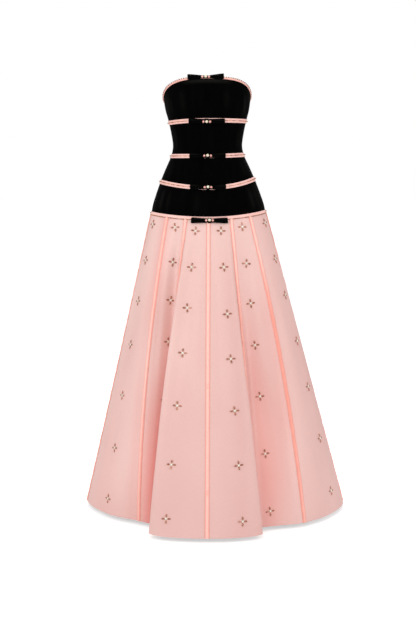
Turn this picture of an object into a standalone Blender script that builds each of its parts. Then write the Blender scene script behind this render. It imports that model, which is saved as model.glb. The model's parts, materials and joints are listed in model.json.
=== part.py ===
"""Strapless maxi gown: a velvet bodice in four tiers over a gored satin skirt.

Metres, +Z up. The front faces -Y and the wearer's left side is at +X.
The origin is the centre of the narrowest waist section.
Every wall follows one of two surfaces. The bodice surface is a stack of ellipses,
given by SECTIONS. The skirt surface starts at the hip seam and runs in straight
lines to the folded hem, given by FOLDS. Angles go round the body in degrees:
0 is the centre front, 90 the side at +X, -90 the side at -X, 180 the centre back.
"""

import math
from collections import namedtuple

import bpy
from mathutils import Vector
from mathutils.geometry import delaunay_2d_cdt

# ---------------------------------------------------------------- driving sizes

VELVET_WALL = 0.0020        # velvet on its stiff backing
SATIN_WALL = 0.0016         # heavy duchess satin
SEAM_GAP = 0.0003           # between neighbouring panels
LIE_GAP = 0.0004            # between a panel and what lies on it

HEM_Z = -1.184              # level hem
NECK_FRONT_Z = 0.2075       # upper edge at the centre front
NECK_LEFT_Z = 0.1425        # upper edge at the left side seam
NECK_RIGHT_Z = 0.1510       # upper edge at the right side seam
NECK_BACK_Z = 0.1220        # upper edge at the centre back
NECK_LEFT_FALL = 2.5        # the larger, the flatter the edge across the bust
NECK_RIGHT_FALL = 3.0
NECK_BACK_RUN = 42.0        # degrees over which it falls to the back

RIBBON_LIFT = 0.0018        # thickness of a ribbon band
PIPING_HALF = 0.0066        # half the width of a skirt seam strip
PIPING_LIFT = 0.0030        # height of its crown
TRIM_HEIGHT = 0.0058        # neckline trim

BODICE_STEP = 7.5           # degrees between wall columns
ZIP_HALF_GAP = 0.0008       # half the slit at the centre back
BAND_END_GAP = 0.0042       # from the slit to the ends of the bands

BOW_HALF = 0.0556           # half the length of a bow
BOW_THICK = 0.0052          # at its loops

PEARL_RADIUS = 0.0054
BEAD_RADIUS = 0.0042
BEAD_PITCH = 0.0098         # from the pearl's centre to a side bead's centre

FLOWER_REACH = 0.0150       # from the centre to a petal's tip
FLOWER_NOTCH = 0.0052       # from the centre to the notch between petals
FLOWER_RISE = 0.0042

# Bodice: centre shift, half width, depth in front and depth behind, by height.
Section = namedtuple("Section", "z shift half front back")
SECTIONS = (
    Section(+0.230, -0.0045, 0.1350, 0.0960, 0.0850),
    Section(+0.205, -0.0040, 0.1370, 0.1020, 0.0880),
    Section(+0.175, -0.0035, 0.1395, 0.1090, 0.0930),
    Section(+0.150, -0.0030, 0.1403, 0.1130, 0.0950),
    Section(+0.110, -0.0025, 0.1355, 0.1090, 0.0930),
    Section(+0.075, -0.0020, 0.1262, 0.0990, 0.0890),
    Section(+0.040, -0.0018, 0.1186, 0.0910, 0.0850),
    Section(+0.000, -0.0015, 0.1124, 0.0870, 0.0820),
    Section(-0.020, -0.0012, 0.1138, 0.0880, 0.0840),
    Section(-0.040, -0.0008, 0.1192, 0.0920, 0.0890),
    Section(-0.065, -0.0003, 0.1306, 0.0985, 0.0990),
    Section(-0.095, +0.0000, 0.1440, 0.1060, 0.1100),
    Section(-0.130, +0.0005, 0.1582, 0.1140, 0.1220),
    Section(-0.165, +0.0010, 0.1710, 0.1215, 0.1320),
    Section(-0.200, +0.0015, 0.1822, 0.1290, 0.1400),
    Section(-0.240, +0.0015, 0.1880, 0.1370, 0.1470),
)

# Ribbon bands over the tier seams: heights of the seam at the centre front, the
# two sides and the centre back, half the band's height, and its bow's place.
Band = namedtuple("Band", "name front left right back half bow_x bow_drop")
BANDS = (
    Band("band_1_under_bust", 0.0740, 0.0672, 0.0729, 0.0690, 0.0066, -0.0039, 0.0015),
    Band("band_2_waist", -0.0387, -0.0395, -0.0350, -0.0390, 0.0066, -0.0013, 0.0005),
    Band("band_3_high_hip", -0.1386, -0.1212, -0.1120, -0.1200, 0.0066, 0.0000, -0.0005),
    Band("band_4_hip", -0.2345, -0.2220, -0.2165, -0.2210, 0.0046, 0.0045, 0.0085),
)
NECK_BOW_X = -0.0073

# Skirt folds: where the hem lies, to the right and ahead of the origin, below
# each angle of the hip seam, and how far the line bulges out halfway down.
Fold = namedtuple("Fold", "name angle x ahead bulge")
FOLDS = (
    Fold("centre_back", -180.0, 0.004, -0.425, 0.000),
    Fold("back_left_bell", -167.0, -0.112, -0.412, 0.000),
    Fold("back_left_inner_seam", -157.5, -0.170, -0.352, 0.008),
    Fold("back_left_valley", -146.0, -0.186, -0.290, 0.000),
    Fold("back_left_outer_seam", -135.0, -0.236, -0.262, 0.014),
    Fold("side_back_left", -112.5, -0.345, -0.155, 0.004),
    Fold("side_left", -90.0, -0.404, 0.000, -0.002),
    Fold("side_front_left", -67.5, -0.328, 0.166, 0.013),
    Fold("front_left_outer_seam", -45.0, -0.219, 0.255, 0.038),
    Fold("front_left_shelf", -38.5, -0.183, 0.284, 0.021),
    Fold("front_left_valley", -30.0, -0.141, 0.288, 0.000),
    Fold("front_left_inner_seam", -22.5, -0.154, 0.344, 0.018),
    Fold("front_left_corner", -17.0, -0.181, 0.392, 0.028),
    Fold("front_left_bell", -11.25, -0.132, 0.431, 0.006),
    Fold("centre_front", 0.0, -0.003, 0.450, 0.000),
    Fold("front_right_bell", 11.25, 0.108, 0.437, 0.004),
    Fold("front_right_corner", 17.0, 0.166, 0.402, 0.012),
    Fold("front_right_inner_seam", 22.5, 0.155, 0.343, 0.005),
    Fold("front_right_valley", 33.0, 0.192, 0.318, 0.008),
    Fold("front_right_outer_seam", 45.0, 0.304, 0.275, 0.024),
    Fold("side_front_right", 67.5, 0.412, 0.142, 0.014),
    Fold("side_right", 90.0, 0.450, 0.000, 0.000),
    Fold("side_back_right", 112.5, 0.386, -0.160, 0.004),
    Fold("back_right_outer_seam", 135.0, 0.268, -0.258, 0.014),
    Fold("back_right_valley", 145.0, 0.196, -0.300, 0.000),
    Fold("back_right_inner_seam", 157.5, 0.172, -0.362, 0.008),
    Fold("back_right_bell", 168.0, 0.112, -0.410, 0.000),
    Fold("centre_back_again", 180.0, 0.004, -0.425, 0.000),
)

# Skirt gores between two seam angles, with their number of wall columns.
Gore = namedtuple("Gore", "name start end columns")
GORES = (
    Gore("gore_back_left_centre", -180.0, -157.5, 6),
    Gore("gore_back_left", -157.5, -135.0, 6),
    Gore("gore_side_back_left", -135.0, -90.0, 8),
    Gore("gore_side_front_left", -90.0, -45.0, 8),
    Gore("gore_front_left", -45.0, -22.5, 6),
    Gore("gore_front_left_centre", -22.5, 0.0, 6),
    Gore("gore_front_right_centre", 0.0, 22.5, 6),
    Gore("gore_front_right", 22.5, 45.0, 6),
    Gore("gore_side_front_right", 45.0, 90.0, 8),
    Gore("gore_side_back_right", 90.0, 135.0, 8),
    Gore("gore_back_right", 135.0, 157.5, 6),
    Gore("gore_back_right_centre", 157.5, 180.0, 6),
)

# Shares of the way from the hip seam to the hem at which the flowers stand.
FLOWER_DOWN = (0.035, 0.155, 0.290, 0.435, 0.605, 0.780, 0.950)

# Zip pull and slider, at the top of the centre back slit.
SLIDER_Z = 0.1130           # hinge height
SLIDER_HALF_WIDTH = 0.0026
SLIDER_ABOVE = 0.0045       # from the hinge up to the slider's top
SLIDER_BELOW = 0.0060
SLIDER_THICK = 0.0020
KEY_HALF = 0.0004           # half the width of its tongue inside the slit
KEY_REACH = 0.0012
EYE_BAR = 0.0005            # half the thickness of the pull at its hinge bar
BAIL_INNER = 0.0011
BAIL_OUTER = 0.0021
BAIL_HALF = 0.0006
PULL_EYE_HALF = 0.0010
PULL_EYE_DOWN = 0.0026
PULL_LENGTH = 0.0260
TAPE_WIDTH = 0.0120
TAPE_THICK = 0.0008


# ---------------------------------------------------------------- scene and looks

for old in list(bpy.data.objects):
    bpy.data.objects.remove(old, do_unlink=True)


def make_material(name, colour, roughness, metallic=0.0):
    material = bpy.data.materials.new(name)
    material.use_nodes = True
    shader = material.node_tree.nodes["Principled BSDF"]
    shader.inputs["Base Color"].default_value = (*colour, 1.0)
    shader.inputs["Roughness"].default_value = roughness
    shader.inputs["Metallic"].default_value = metallic
    material.diffuse_color = (*colour, 1.0)
    return material


VELVET = make_material("black_velvet", (0.004, 0.004, 0.005), 0.85)
SATIN = make_material("blush_satin", (0.83, 0.55, 0.51), 0.45)
RIBBON = make_material("pink_ribbon", (0.88, 0.45, 0.42), 0.40)
PIPING = make_material("peach_piping", (0.90, 0.50, 0.45), 0.45)
PEARL = make_material("pearl", (0.86, 0.80, 0.72), 0.20)
TAPE = make_material("zip_tape", (0.01, 0.01, 0.012), 0.80)
METAL = make_material("dark_metal", (0.10, 0.10, 0.11), 0.30, 1.0)


# ---------------------------------------------------------------- curves and surfaces

def hermite(knots, values, at):
    """Smooth curve through values at knots, in rising order of the knots."""
    last = len(knots) - 2
    i = 0
    while i < last and at > knots[i + 1]:
        i += 1

    def slope(k):
        low, high = max(k - 1, 0), min(k + 1, len(knots) - 1)
        return (values[high] - values[low]) / (knots[high] - knots[low])

    span = knots[i + 1] - knots[i]
    t = (at - knots[i]) / span
    a = (2 * t**3 - 3 * t**2 + 1) * values[i]
    b = (t**3 - 2 * t**2 + t) * span * slope(i)
    c = (3 * t**2 - 2 * t**3) * values[i + 1]
    d = (t**3 - t**2) * span * slope(i + 1)
    return a + b + c + d


SECTION_RISING = tuple(reversed(SECTIONS))
SECTION_Z = [row.z for row in SECTION_RISING]


def section_size(column, z):
    values = [getattr(row, column) for row in SECTION_RISING]
    return hermite(SECTION_Z, values, z)


def bodice_point(angle, z):
    a = math.radians(angle)
    depth = section_size("front" if math.cos(a) > 0 else "back", z)
    x = section_size("shift", z) + section_size("half", z) * math.sin(a)
    return Vector((x, -depth * math.cos(a), z))


def bodice_sample(angle, z):
    """A point of the bodice and the direction straight out of it."""
    around = bodice_point(angle + 0.2, z) - bodice_point(angle - 0.2, z)
    up = bodice_point(angle, z + 0.0005) - bodice_point(angle, z - 0.0005)
    return bodice_point(angle, z), around.cross(up).normalized()


def neck_height(angle):
    """Upper edge: nearly level over the bust, falling in a curve to the sides and back."""
    past = abs(angle)
    side = NECK_RIGHT_Z if angle > 0.0 else NECK_LEFT_Z
    fall = NECK_RIGHT_FALL if angle > 0.0 else NECK_LEFT_FALL
    if past <= 90.0:
        return NECK_FRONT_Z + (side - NECK_FRONT_Z) * (past / 90.0)**fall
    t = min((past - 90.0) / NECK_BACK_RUN, 1.0)
    return side + (NECK_BACK_Z - side) * (1.0 - (1.0 - t)**2)


def seam_height(band, angle):
    """A band's seam dips or rises between the centre and the sides."""
    a = math.radians(angle)
    side = band.right if angle > 0 else band.left
    centre = band.front if math.cos(a) > 0 else band.back
    return side + (centre - side) * math.cos(a)**2


FOLD_ANGLES = [row.angle for row in FOLDS]


def hip_point(angle):
    return bodice_point(angle, seam_height(BANDS[-1], angle))


def hem_reach(row):
    """From the hip seam to the hem, in plan, below one row of FOLDS."""
    hip = hip_point(row.angle)
    return Vector((row.x - hip.x, -row.ahead - hip.y))


FOLD_REACH = [hem_reach(row) for row in FOLDS]
FOLD_BULGE = [reach.normalized() * row.bulge for reach, row in zip(FOLD_REACH, FOLDS)]


def around_once(rows, angle):
    """Smooth closed curve through the rows of FOLDS."""
    turn = 360.0
    knots = [FOLD_ANGLES[-2] - turn] + FOLD_ANGLES + [FOLD_ANGLES[1] + turn]
    values = [rows[-2]] + list(rows) + [rows[1]]
    return hermite(knots, values, angle)


def skirt_point(angle, down):
    hip = hip_point(angle)
    plan = around_once(FOLD_REACH, angle) * down
    plan += around_once(FOLD_BULGE, angle) * 4.0 * down * (1.0 - down)
    z = hip.z + (HEM_Z - hip.z) * down
    return Vector((hip.x + plan.x, hip.y + plan.y, z))


def skirt_sample(angle, down):
    around = skirt_point(angle + 0.15, down) - skirt_point(angle - 0.15, down)
    up = skirt_point(angle, down - 0.002) - skirt_point(angle, down + 0.002)
    return skirt_point(angle, down), around.cross(up).normalized()


# ---------------------------------------------------------------- solid builders

def add_solid(name, points, faces, material, smooth_angle=None):
    """One closed mesh object whose faces point outward."""
    volume = 0.0
    for face in faces:
        first = points[face[0]]
        for b, c in zip(face[1:-1], face[2:]):
            volume += first.dot(points[b].cross(points[c]))
    if volume < 0:
        faces = [tuple(reversed(face)) for face in faces]
    mesh = bpy.data.meshes.new(name)
    mesh.from_pydata([tuple(p) for p in points], [], faces)
    mesh.update()
    mesh.materials.append(material)
    if smooth_angle is not None:
        mesh.shade_smooth()
        mesh.set_sharp_from_angle(angle=math.radians(smooth_angle))
    solid = bpy.data.objects.new(name, mesh)
    bpy.context.scene.collection.objects.link(solid)
    return solid


def edge_faces(outer_loop, inner_loop):
    """Narrow faces that close a wall all round its border.

    Opposite borders are split the same way, so a twisted seam keeps its gap.
    """
    faces = []
    count = len(outer_loop)
    for k in range(count):
        n = (k + 1) % count
        if k < count // 2:
            faces.append((outer_loop[k], outer_loop[n], inner_loop[n]))
            faces.append((outer_loop[k], inner_loop[n], inner_loop[k]))
        else:
            faces.append((outer_loop[k], outer_loop[n], inner_loop[k]))
            faces.append((outer_loop[n], inner_loop[n], inner_loop[k]))
    return faces


def border(rows, columns):
    """Grid places round the border of a wall, in order."""
    top = [(0, c) for c in range(columns)]
    right = [(r, columns - 1) for r in range(1, rows)]
    bottom = [(rows - 1, c) for c in range(columns - 2, -1, -1)]
    left = [(r, 0) for r in range(rows - 2, 0, -1)]
    return top + right + bottom + left


def cell_triangles(rows, columns):
    """Two triangles for each cell of the grid, by grid place."""
    triangles = []
    for r in range(rows - 1):
        for c in range(columns - 1):
            a, b = (r, c), (r, c + 1)
            d, e = (r + 1, c), (r + 1, c + 1)
            triangles.append((a, d, e))
            triangles.append((a, e, b))
    return triangles


def wall(name, samples, outer, inner, material):
    """A wall over a grid of samples, from the lift inner to the lift outer."""
    rows, columns = len(samples), len(samples[0])
    count = rows * columns
    points = [p + n * outer for row in samples for p, n in row]
    points += [p + n * inner for row in samples for p, n in row]

    def index(place, layer):
        return layer * count + place[0] * columns + place[1]

    faces = []
    for triangle in cell_triangles(rows, columns):
        faces.append(tuple(index(place, 0) for place in triangle))
        faces.append(tuple(index(place, 1) for place in reversed(triangle)))
    loop = border(rows, columns)
    faces += edge_faces([index(p, 0) for p in loop], [index(p, 1) for p in loop])
    return add_solid(name, points, faces, material)


def bar(name, rings, material, smooth_angle=None):
    """A closed bar through rings of equal count, flat at both ends."""
    size = len(rings[0])
    points = [p for ring in rings for p in ring]
    faces = []
    for k in range(len(rings) - 1):
        for i in range(size):
            j = (i + 1) % size
            a, b = k * size + i, k * size + j
            faces.append((a, b, b + size))
            faces.append((a, b + size, a + size))
    last = (len(rings) - 1) * size
    for i in range(1, size - 1):
        faces.append((0, i + 1, i))
        faces.append((last, last + i, last + i + 1))
    return add_solid(name, points, faces, material, smooth_angle)


def toward(a, b, distance):
    return a + (b - a).normalized() * distance


def trim_row(row, start_gap, end_gap):
    """Pull the two ends of a row of samples in along the row."""
    row = list(row)
    first, last = row[0], row[-1]
    row[0] = (toward(first[0], row[1][0], start_gap), first[1])
    row[-1] = (toward(last[0], row[-2][0], end_gap), last[1])
    return row


def steps(start, end, count):
    return [start + (end - start) * k / count for k in range(count + 1)]


# ---------------------------------------------------------------- bodice

def tier_levels(tier, angle):
    """Heights of a tier's rows at one angle, from its upper to its lower edge."""
    if tier == 0:
        top = neck_height(angle)
        upper = top - TRIM_HEIGHT
    else:
        seam = seam_height(BANDS[tier - 1], angle)
        top = seam - SEAM_GAP / 2
        upper = seam - BANDS[tier - 1].half
    seam = seam_height(BANDS[tier], angle)
    lower = seam + BANDS[tier].half
    return [top, upper, (upper + lower) / 2, lower, seam + SEAM_GAP / 2]


def bodice_grid(levels_at, angles):
    columns = [[bodice_sample(a, z) for z in levels_at(a)] for a in angles]
    return [list(row) for row in zip(*columns)]


TIER_PANELS = (
    ("front", -90.0, 90.0, SEAM_GAP / 2, SEAM_GAP / 2),
    ("back_right", 90.0, 180.0, SEAM_GAP / 2, ZIP_HALF_GAP),
    ("back_left", -180.0, -90.0, ZIP_HALF_GAP, SEAM_GAP / 2),
)


def build_tiers():
    for tier in range(len(BANDS)):
        for side, start, end, start_gap, end_gap in TIER_PANELS:
            count = round((end - start) / BODICE_STEP)
            angles = steps(start, end, count)
            grid = bodice_grid(lambda a: tier_levels(tier, a), angles)
            grid = [trim_row(row, start_gap, end_gap) for row in grid]
            wall(f"tier_{tier + 1}_{side}", grid, 0.0, -VELVET_WALL, VELVET)


def build_neckline_trim():
    angles = steps(-180.0, 180.0, round(360.0 / BODICE_STEP))
    grid = bodice_grid(lambda a: [neck_height(a), neck_height(a) - TRIM_HEIGHT], angles)
    grid = [trim_row(row, BAND_END_GAP, BAND_END_GAP) for row in grid]
    wall("neckline_trim", grid, LIE_GAP + RIBBON_LIFT, LIE_GAP, RIBBON)


def build_bodice_band(band):
    def levels(angle):
        seam = seam_height(band, angle)
        return [seam + band.half, seam - band.half]

    angles = steps(-180.0, 180.0, round(360.0 / BODICE_STEP))
    grid = bodice_grid(levels, angles)
    grid = [trim_row(row, BAND_END_GAP, BAND_END_GAP) for row in grid]
    wall(band.name, grid, LIE_GAP + RIBBON_LIFT, LIE_GAP, RIBBON)


def gore_angles(gore):
    return steps(gore.start, gore.end, gore.columns)


def skirt_share(angle, distance):
    """Share of the way to the hem that lies a distance below the hip seam."""
    return distance / (hip_point(angle).z - HEM_Z)


def build_hip_band():
    """The last band bends out over the tops of the gores."""
    band = BANDS[-1]
    angles = sorted({a for gore in GORES for a in gore_angles(gore)})
    above = [bodice_sample(a, seam_height(band, a) + band.half) for a in angles]
    middle = [bodice_sample(a, seam_height(band, a)) for a in angles]
    below = [skirt_sample(a, skirt_share(a, band.half)) for a in angles]
    grid = [trim_row(row, BAND_END_GAP, BAND_END_GAP) for row in (above, middle, below)]
    wall(band.name, grid, LIE_GAP + RIBBON_LIFT, LIE_GAP, RIBBON)


# ---------------------------------------------------------------- skirt

def flower_outline():
    """Four petal tips and the four notches between them."""
    ring = []
    for k in range(8):
        radius = FLOWER_REACH if k % 2 == 0 else FLOWER_NOTCH
        a = math.radians(45.0 * k)
        ring.append((radius * math.cos(a), radius * math.sin(a)))
    return ring


def flower_rise(x, y):
    """Height of a flower over its panel, x and y from its centre."""
    radius = math.hypot(x, y)
    if radius < 1e-9:
        return FLOWER_RISE
    turn = math.degrees(math.atan2(y, x)) % 90.0
    turn = min(turn, 90.0 - turn)
    a, b = math.radians(turn), math.radians(45.0 - turn)
    edge = FLOWER_REACH * FLOWER_NOTCH * math.sin(math.radians(45.0))
    edge /= FLOWER_REACH * math.sin(a) + FLOWER_NOTCH * math.sin(b)
    return FLOWER_RISE * max(1.0 - radius / edge, 0.0)


def grid_point(samples, layer_lift, across, along):
    """Point on the flat triangles between samples, at fractional places."""
    rows, columns = len(samples), len(samples[0])
    r = min(int(along + 1e-6), rows - 2)
    c = min(int(across + 1e-6), columns - 2)
    v, u = along - r, across - c
    a, b = samples[r][c], samples[r][c + 1]
    d, e = samples[r + 1][c], samples[r + 1][c + 1]
    if v >= u:
        weights = ((a, 1 - v), (d, v - u), (e, u))
    else:
        weights = ((a, 1 - u), (b, u - v), (e, v))
    return sum(((p + n * layer_lift) * w for (p, n), w in weights), Vector())


def flowered_wall(name, samples, thickness, flowers, material):
    """A wall whose outer face carries raised flowers over a plain inside.

    flowers lists the grid places (row, column) of their centres.
    """
    rows, columns = len(samples), len(samples[0])
    wide = (samples[rows // 2][0][0] - samples[rows // 2][1][0]).length
    tall = (samples[0][0][0] - samples[-1][0][0]).length / (rows - 1)
    spots = [(c * wide, r * tall) for r in range(rows) for c in range(columns)]
    edges = set()
    for triangle in cell_triangles(rows, columns):
        places = [r * columns + c for r, c in triangle]
        for i, j in zip(places, places[1:] + places[:1]):
            edges.add((min(i, j), max(i, j)))
    edges = sorted(edges)
    centres = []
    for row, column in flowers:
        here = samples[row][column][0]
        across = (samples[row][column + 1][0] - samples[row][column - 1][0]).length / 2
        below = (samples[row + 1][column][0] - here).length
        above = (samples[row - 1][column][0] - here).length
        centres.append((row, column, across, above, below))
        first = len(spots)
        for x, y in flower_outline():
            drop = y / below if y > 0 else y / above
            spots.append(((column + x / across) * wide, (row + drop) * tall))
        edges += [(first + k, first + (k + 1) % 8) for k in range(8)]
    flat = [Vector(spot) for spot in spots]
    cut = delaunay_2d_cdt(flat, edges, [], 0, 1e-7)
    outer_spots, outer_faces, origins = cut[0], cut[2], cut[3]
    points = []
    place_of = {}
    for k, spot in enumerate(outer_spots):
        across, along = spot.x / wide, spot.y / tall
        rise = 0.0
        for row, column, step, above, below in centres:
            dx = (across - column) * step
            dy = along - row
            dy *= below if dy > 0 else above
            if abs(dx) <= FLOWER_REACH and abs(dy) <= FLOWER_REACH:
                rise = max(rise, flower_rise(dx, dy))
        points.append(grid_point(samples, rise, across, along))
        for origin in origins[k]:
            if origin < rows * columns:
                place_of[divmod(origin, columns)] = k
    first = len(points)
    points += [p - n * thickness for row in samples for p, n in row]

    def inside(place):
        return first + place[0] * columns + place[1]

    # The flat layout runs down as the wall does, so its faces are turned over.
    faces = [tuple(reversed(face)) for face in outer_faces]
    faces += [tuple(inside(p) for p in reversed(t)) for t in cell_triangles(rows, columns)]
    loop = border(rows, columns)
    faces += edge_faces([place_of[p] for p in loop], [inside(p) for p in loop])
    return add_solid(name, points, faces, material)


def gore_grid(gore):
    """Samples of a gore, with a row through each flower."""
    grid = []
    for down in (0.0, *FLOWER_DOWN, 1.0):
        row = []
        for angle in gore_angles(gore):
            share = down if down > 0 else skirt_share(angle, SEAM_GAP / 2)
            row.append(skirt_sample(angle, share))
        grid.append(row)
    return grid


def build_gores():
    for gore in GORES:
        grid = gore_grid(gore)
        grid = [trim_row(row, SEAM_GAP / 2, SEAM_GAP / 2) for row in grid]
        flowers = [(k + 1, gore.columns // 2) for k in range(len(FLOWER_DOWN))]
        flowered_wall(gore.name, grid, SATIN_WALL, flowers, SATIN)


def fold_turn(seams, besides, k):
    """How far the cloth beside a seam turns from row k to the rows next to it."""
    ways = [(beside - seam).normalized() for seam, beside in zip(seams, besides)]
    near = [ways[n] for n in (k - 1, k + 1) if 0 <= n < len(ways)]
    return max((ways[k] - way).length for way in near)


def build_piping(index, start_below):
    """Raised strip over the seam before GORES[index], lying on both gores."""
    before = gore_grid(GORES[index - 1])
    after = gore_grid(GORES[index])
    seams = [row[0][0] for row in after]
    lefts = [row[-2][0] for row in before]
    rights = [row[1][0] for row in after]
    share = skirt_share(GORES[index].start, start_below) / FLOWER_DOWN[0]
    for places in (seams, lefts, rights):
        places[0] = places[0].lerp(places[1], share)
    down = seams[-1] - seams[0]
    rings = []
    for k, (seam, left, right) in enumerate(zip(seams, lefts, rights)):
        left_out = down.cross(seam - left).normalized()
        right_out = down.cross(right - seam).normalized()
        out = (left_out + right_out).normalized()
        left_gap = LIE_GAP + PIPING_HALF * fold_turn(seams, lefts, k)
        right_gap = LIE_GAP + PIPING_HALF * fold_turn(seams, rights, k)
        a = toward(seam, left, PIPING_HALF) + left_out * left_gap
        b = toward(seam, right, PIPING_HALF) + right_out * right_gap
        seat = seam + out * max(left_gap, right_gap) / out.dot(left_out)
        crown = out * PIPING_LIFT
        # The ring starts at its seat, from where its flat ends are in full sight.
        rings.append([
            seat, b, seat.lerp(b, 0.7) + crown * 0.75,
            seat + crown, seat.lerp(a, 0.7) + crown * 0.75, a,
        ])
    return bar(f"piping_{index + 1:02d}", rings, PIPING)


# ---------------------------------------------------------------- bows and jewels

# Half of a bow: share of its half length, half height and thickness.
BowRow = namedtuple("BowRow", "share half_height thick")
BOW_ROWS = (
    BowRow(1.00, 0.0074, 0.60),
    BowRow(0.96, 0.0084, 0.95),
    BowRow(0.70, 0.0078, 1.00),
    BowRow(0.40, 0.0066, 0.90),
    BowRow(0.14, 0.0052, 0.75),
    BowRow(0.00, 0.0050, 0.70),
)


def gown_sample(angle, z):
    """A point of the bodice, or below the hip seam of the skirt."""
    hip = seam_height(BANDS[-1], angle)
    if z >= hip:
        return bodice_sample(angle, z)
    return skirt_sample(angle, skirt_share(angle, hip - z))


def angle_at(x, z):
    """Angle at which the front of the bodice passes a place across."""
    return math.degrees(math.asin((x - section_size("shift", z)) / section_size("half", z)))


def build_bow(name, x_centre, z_centre, lift):
    """Flat ribbon bow bent round the body, with its jewel over the knot."""
    rows = list(BOW_ROWS) + [row._replace(share=-row.share) for row in BOW_ROWS[-2::-1]]
    rings = []
    for row in rows:
        angle = angle_at(x_centre + row.share * BOW_HALF, z_centre)
        foot, foot_out = gown_sample(angle, z_centre - row.half_height)
        head, head_out = gown_sample(angle, z_centre + row.half_height)
        low, high = foot + foot_out * lift, head + head_out * lift
        out = (foot_out + head_out).normalized() * BOW_THICK * row.thick
        rings.append([
            low, high, high + out * 0.55,
            high.lerp(low, 0.22) + out, low.lerp(high, 0.22) + out, low + out * 0.55,
        ])
    bar(name, rings, VELVET, 40.0)
    seat, out = gown_sample(angle_at(x_centre, z_centre), z_centre)
    knot = lift + BOW_THICK * BOW_ROWS[-1].thick + LIE_GAP + PEARL_RADIUS
    build_jewel(name.replace("bow", "jewel"), seat + out * knot)


def build_jewel(name, centre):
    """A pearl between two beads, turned on one line along X."""
    profile = [(-BEAD_PITCH - BEAD_RADIUS, 0.0012)]
    for x, radius, count in (
        (-BEAD_PITCH, BEAD_RADIUS, 2),
        (0.0, PEARL_RADIUS, 4),
        (BEAD_PITCH, BEAD_RADIUS, 2),
    ):
        for k in range(1, count + 1):
            a = math.pi * k / (count + 1)
            profile.append((x - radius * math.cos(a), radius * math.sin(a)))
    profile.append((BEAD_PITCH + BEAD_RADIUS, 0.0012))
    rings = []
    for x, radius in profile:
        ring = []
        for k in range(8):
            a = math.radians(45.0 * k + 22.5)
            ring.append(centre + Vector((x, radius * math.cos(a), radius * math.sin(a))))
        rings.append(ring)
    bar(name, rings, PEARL, 60.0)


def build_bows():
    lift = RIBBON_LIFT + 3 * LIE_GAP
    build_bow("bow_0_neckline", NECK_BOW_X, NECK_FRONT_Z, lift)
    for number, band in enumerate(BANDS, 1):
        z = seam_height(band, 0.0) - band.bow_drop
        part = band.name.split("_", 2)[2]
        extra = 0.0008 if number == len(BANDS) else 0.0
        build_bow(f"bow_{number}_{part}", band.bow_x, z, lift + extra)


# ---------------------------------------------------------------- zip

def prism(name, outline, axis, start, end, material):
    """A straight prism over an outline in the plane across an axis, 0 for X and 1 for Y."""
    count = len(outline)
    points = []
    for depth in (start, end):
        for across, z in outline:
            points.append(Vector((depth, across, z) if axis == 0 else (across, depth, z)))
    faces = [tuple(range(count)), tuple(range(2 * count - 1, count - 1, -1))]
    for a in range(count):
        b = (a + 1) % count
        faces.append((a, a + count, b + count, b))
    return add_solid(name, points, faces, material)


def rectangle(across_0, across_1, z_0, z_1):
    return [(across_0, z_0), (across_1, z_0), (across_1, z_1), (across_0, z_1)]


def combine(solid, tool, operation):
    """Join a tool's shape to a solid, or cut it out."""
    tool.hide_render = True
    tool.display_type = "WIRE"
    modifier = solid.modifiers.new(tool.name, "BOOLEAN")
    modifier.operation = operation
    modifier.solver = "EXACT"
    modifier.object = tool


def slit_point(z):
    return bodice_point(180.0, z)


def build_zip():
    """Two tapes inside the slit, the slider over it and the pull on its bail."""
    levels = []
    for tier in range(len(BANDS)):
        rows = tier_levels(tier, 180.0)
        levels += rows if tier == 0 else rows[1:]
    levels = levels[1:-1]
    for side, angle in (("left", -180.0 + BODICE_STEP), ("right", 180.0 - BODICE_STEP)):
        rings = []
        for z in levels:
            seat, out = bodice_sample(180.0, z)
            beside = bodice_point(angle, z)
            near = toward(seat, beside, SEAM_GAP)
            far = toward(seat, beside, TAPE_WIDTH)
            deep = VELVET_WALL + LIE_GAP
            rings.append([
                near - out * deep, far - out * deep,
                far - out * (deep + TAPE_THICK), near - out * (deep + TAPE_THICK),
            ])
        bar(f"zip_tape_{side}", rings, TAPE)
    build_slider()


def bail_outline(y, z, foot):
    """Half ring round the hinge line, its two feet reaching back to foot."""
    turns = [math.radians(-90.0 + 30.0 * k) for k in range(7)]
    outer = [(y + BAIL_OUTER * math.cos(t), z + BAIL_OUTER * math.sin(t)) for t in turns]
    inner = [(y + BAIL_INNER * math.cos(t), z + BAIL_INNER * math.sin(t)) for t in turns]
    upper = [(foot, z + BAIL_OUTER), (foot, z + BAIL_INNER)]
    lower = [(foot, z - BAIL_INNER), (foot, z - BAIL_OUTER)]
    return outer + upper + inner[::-1] + lower


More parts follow.
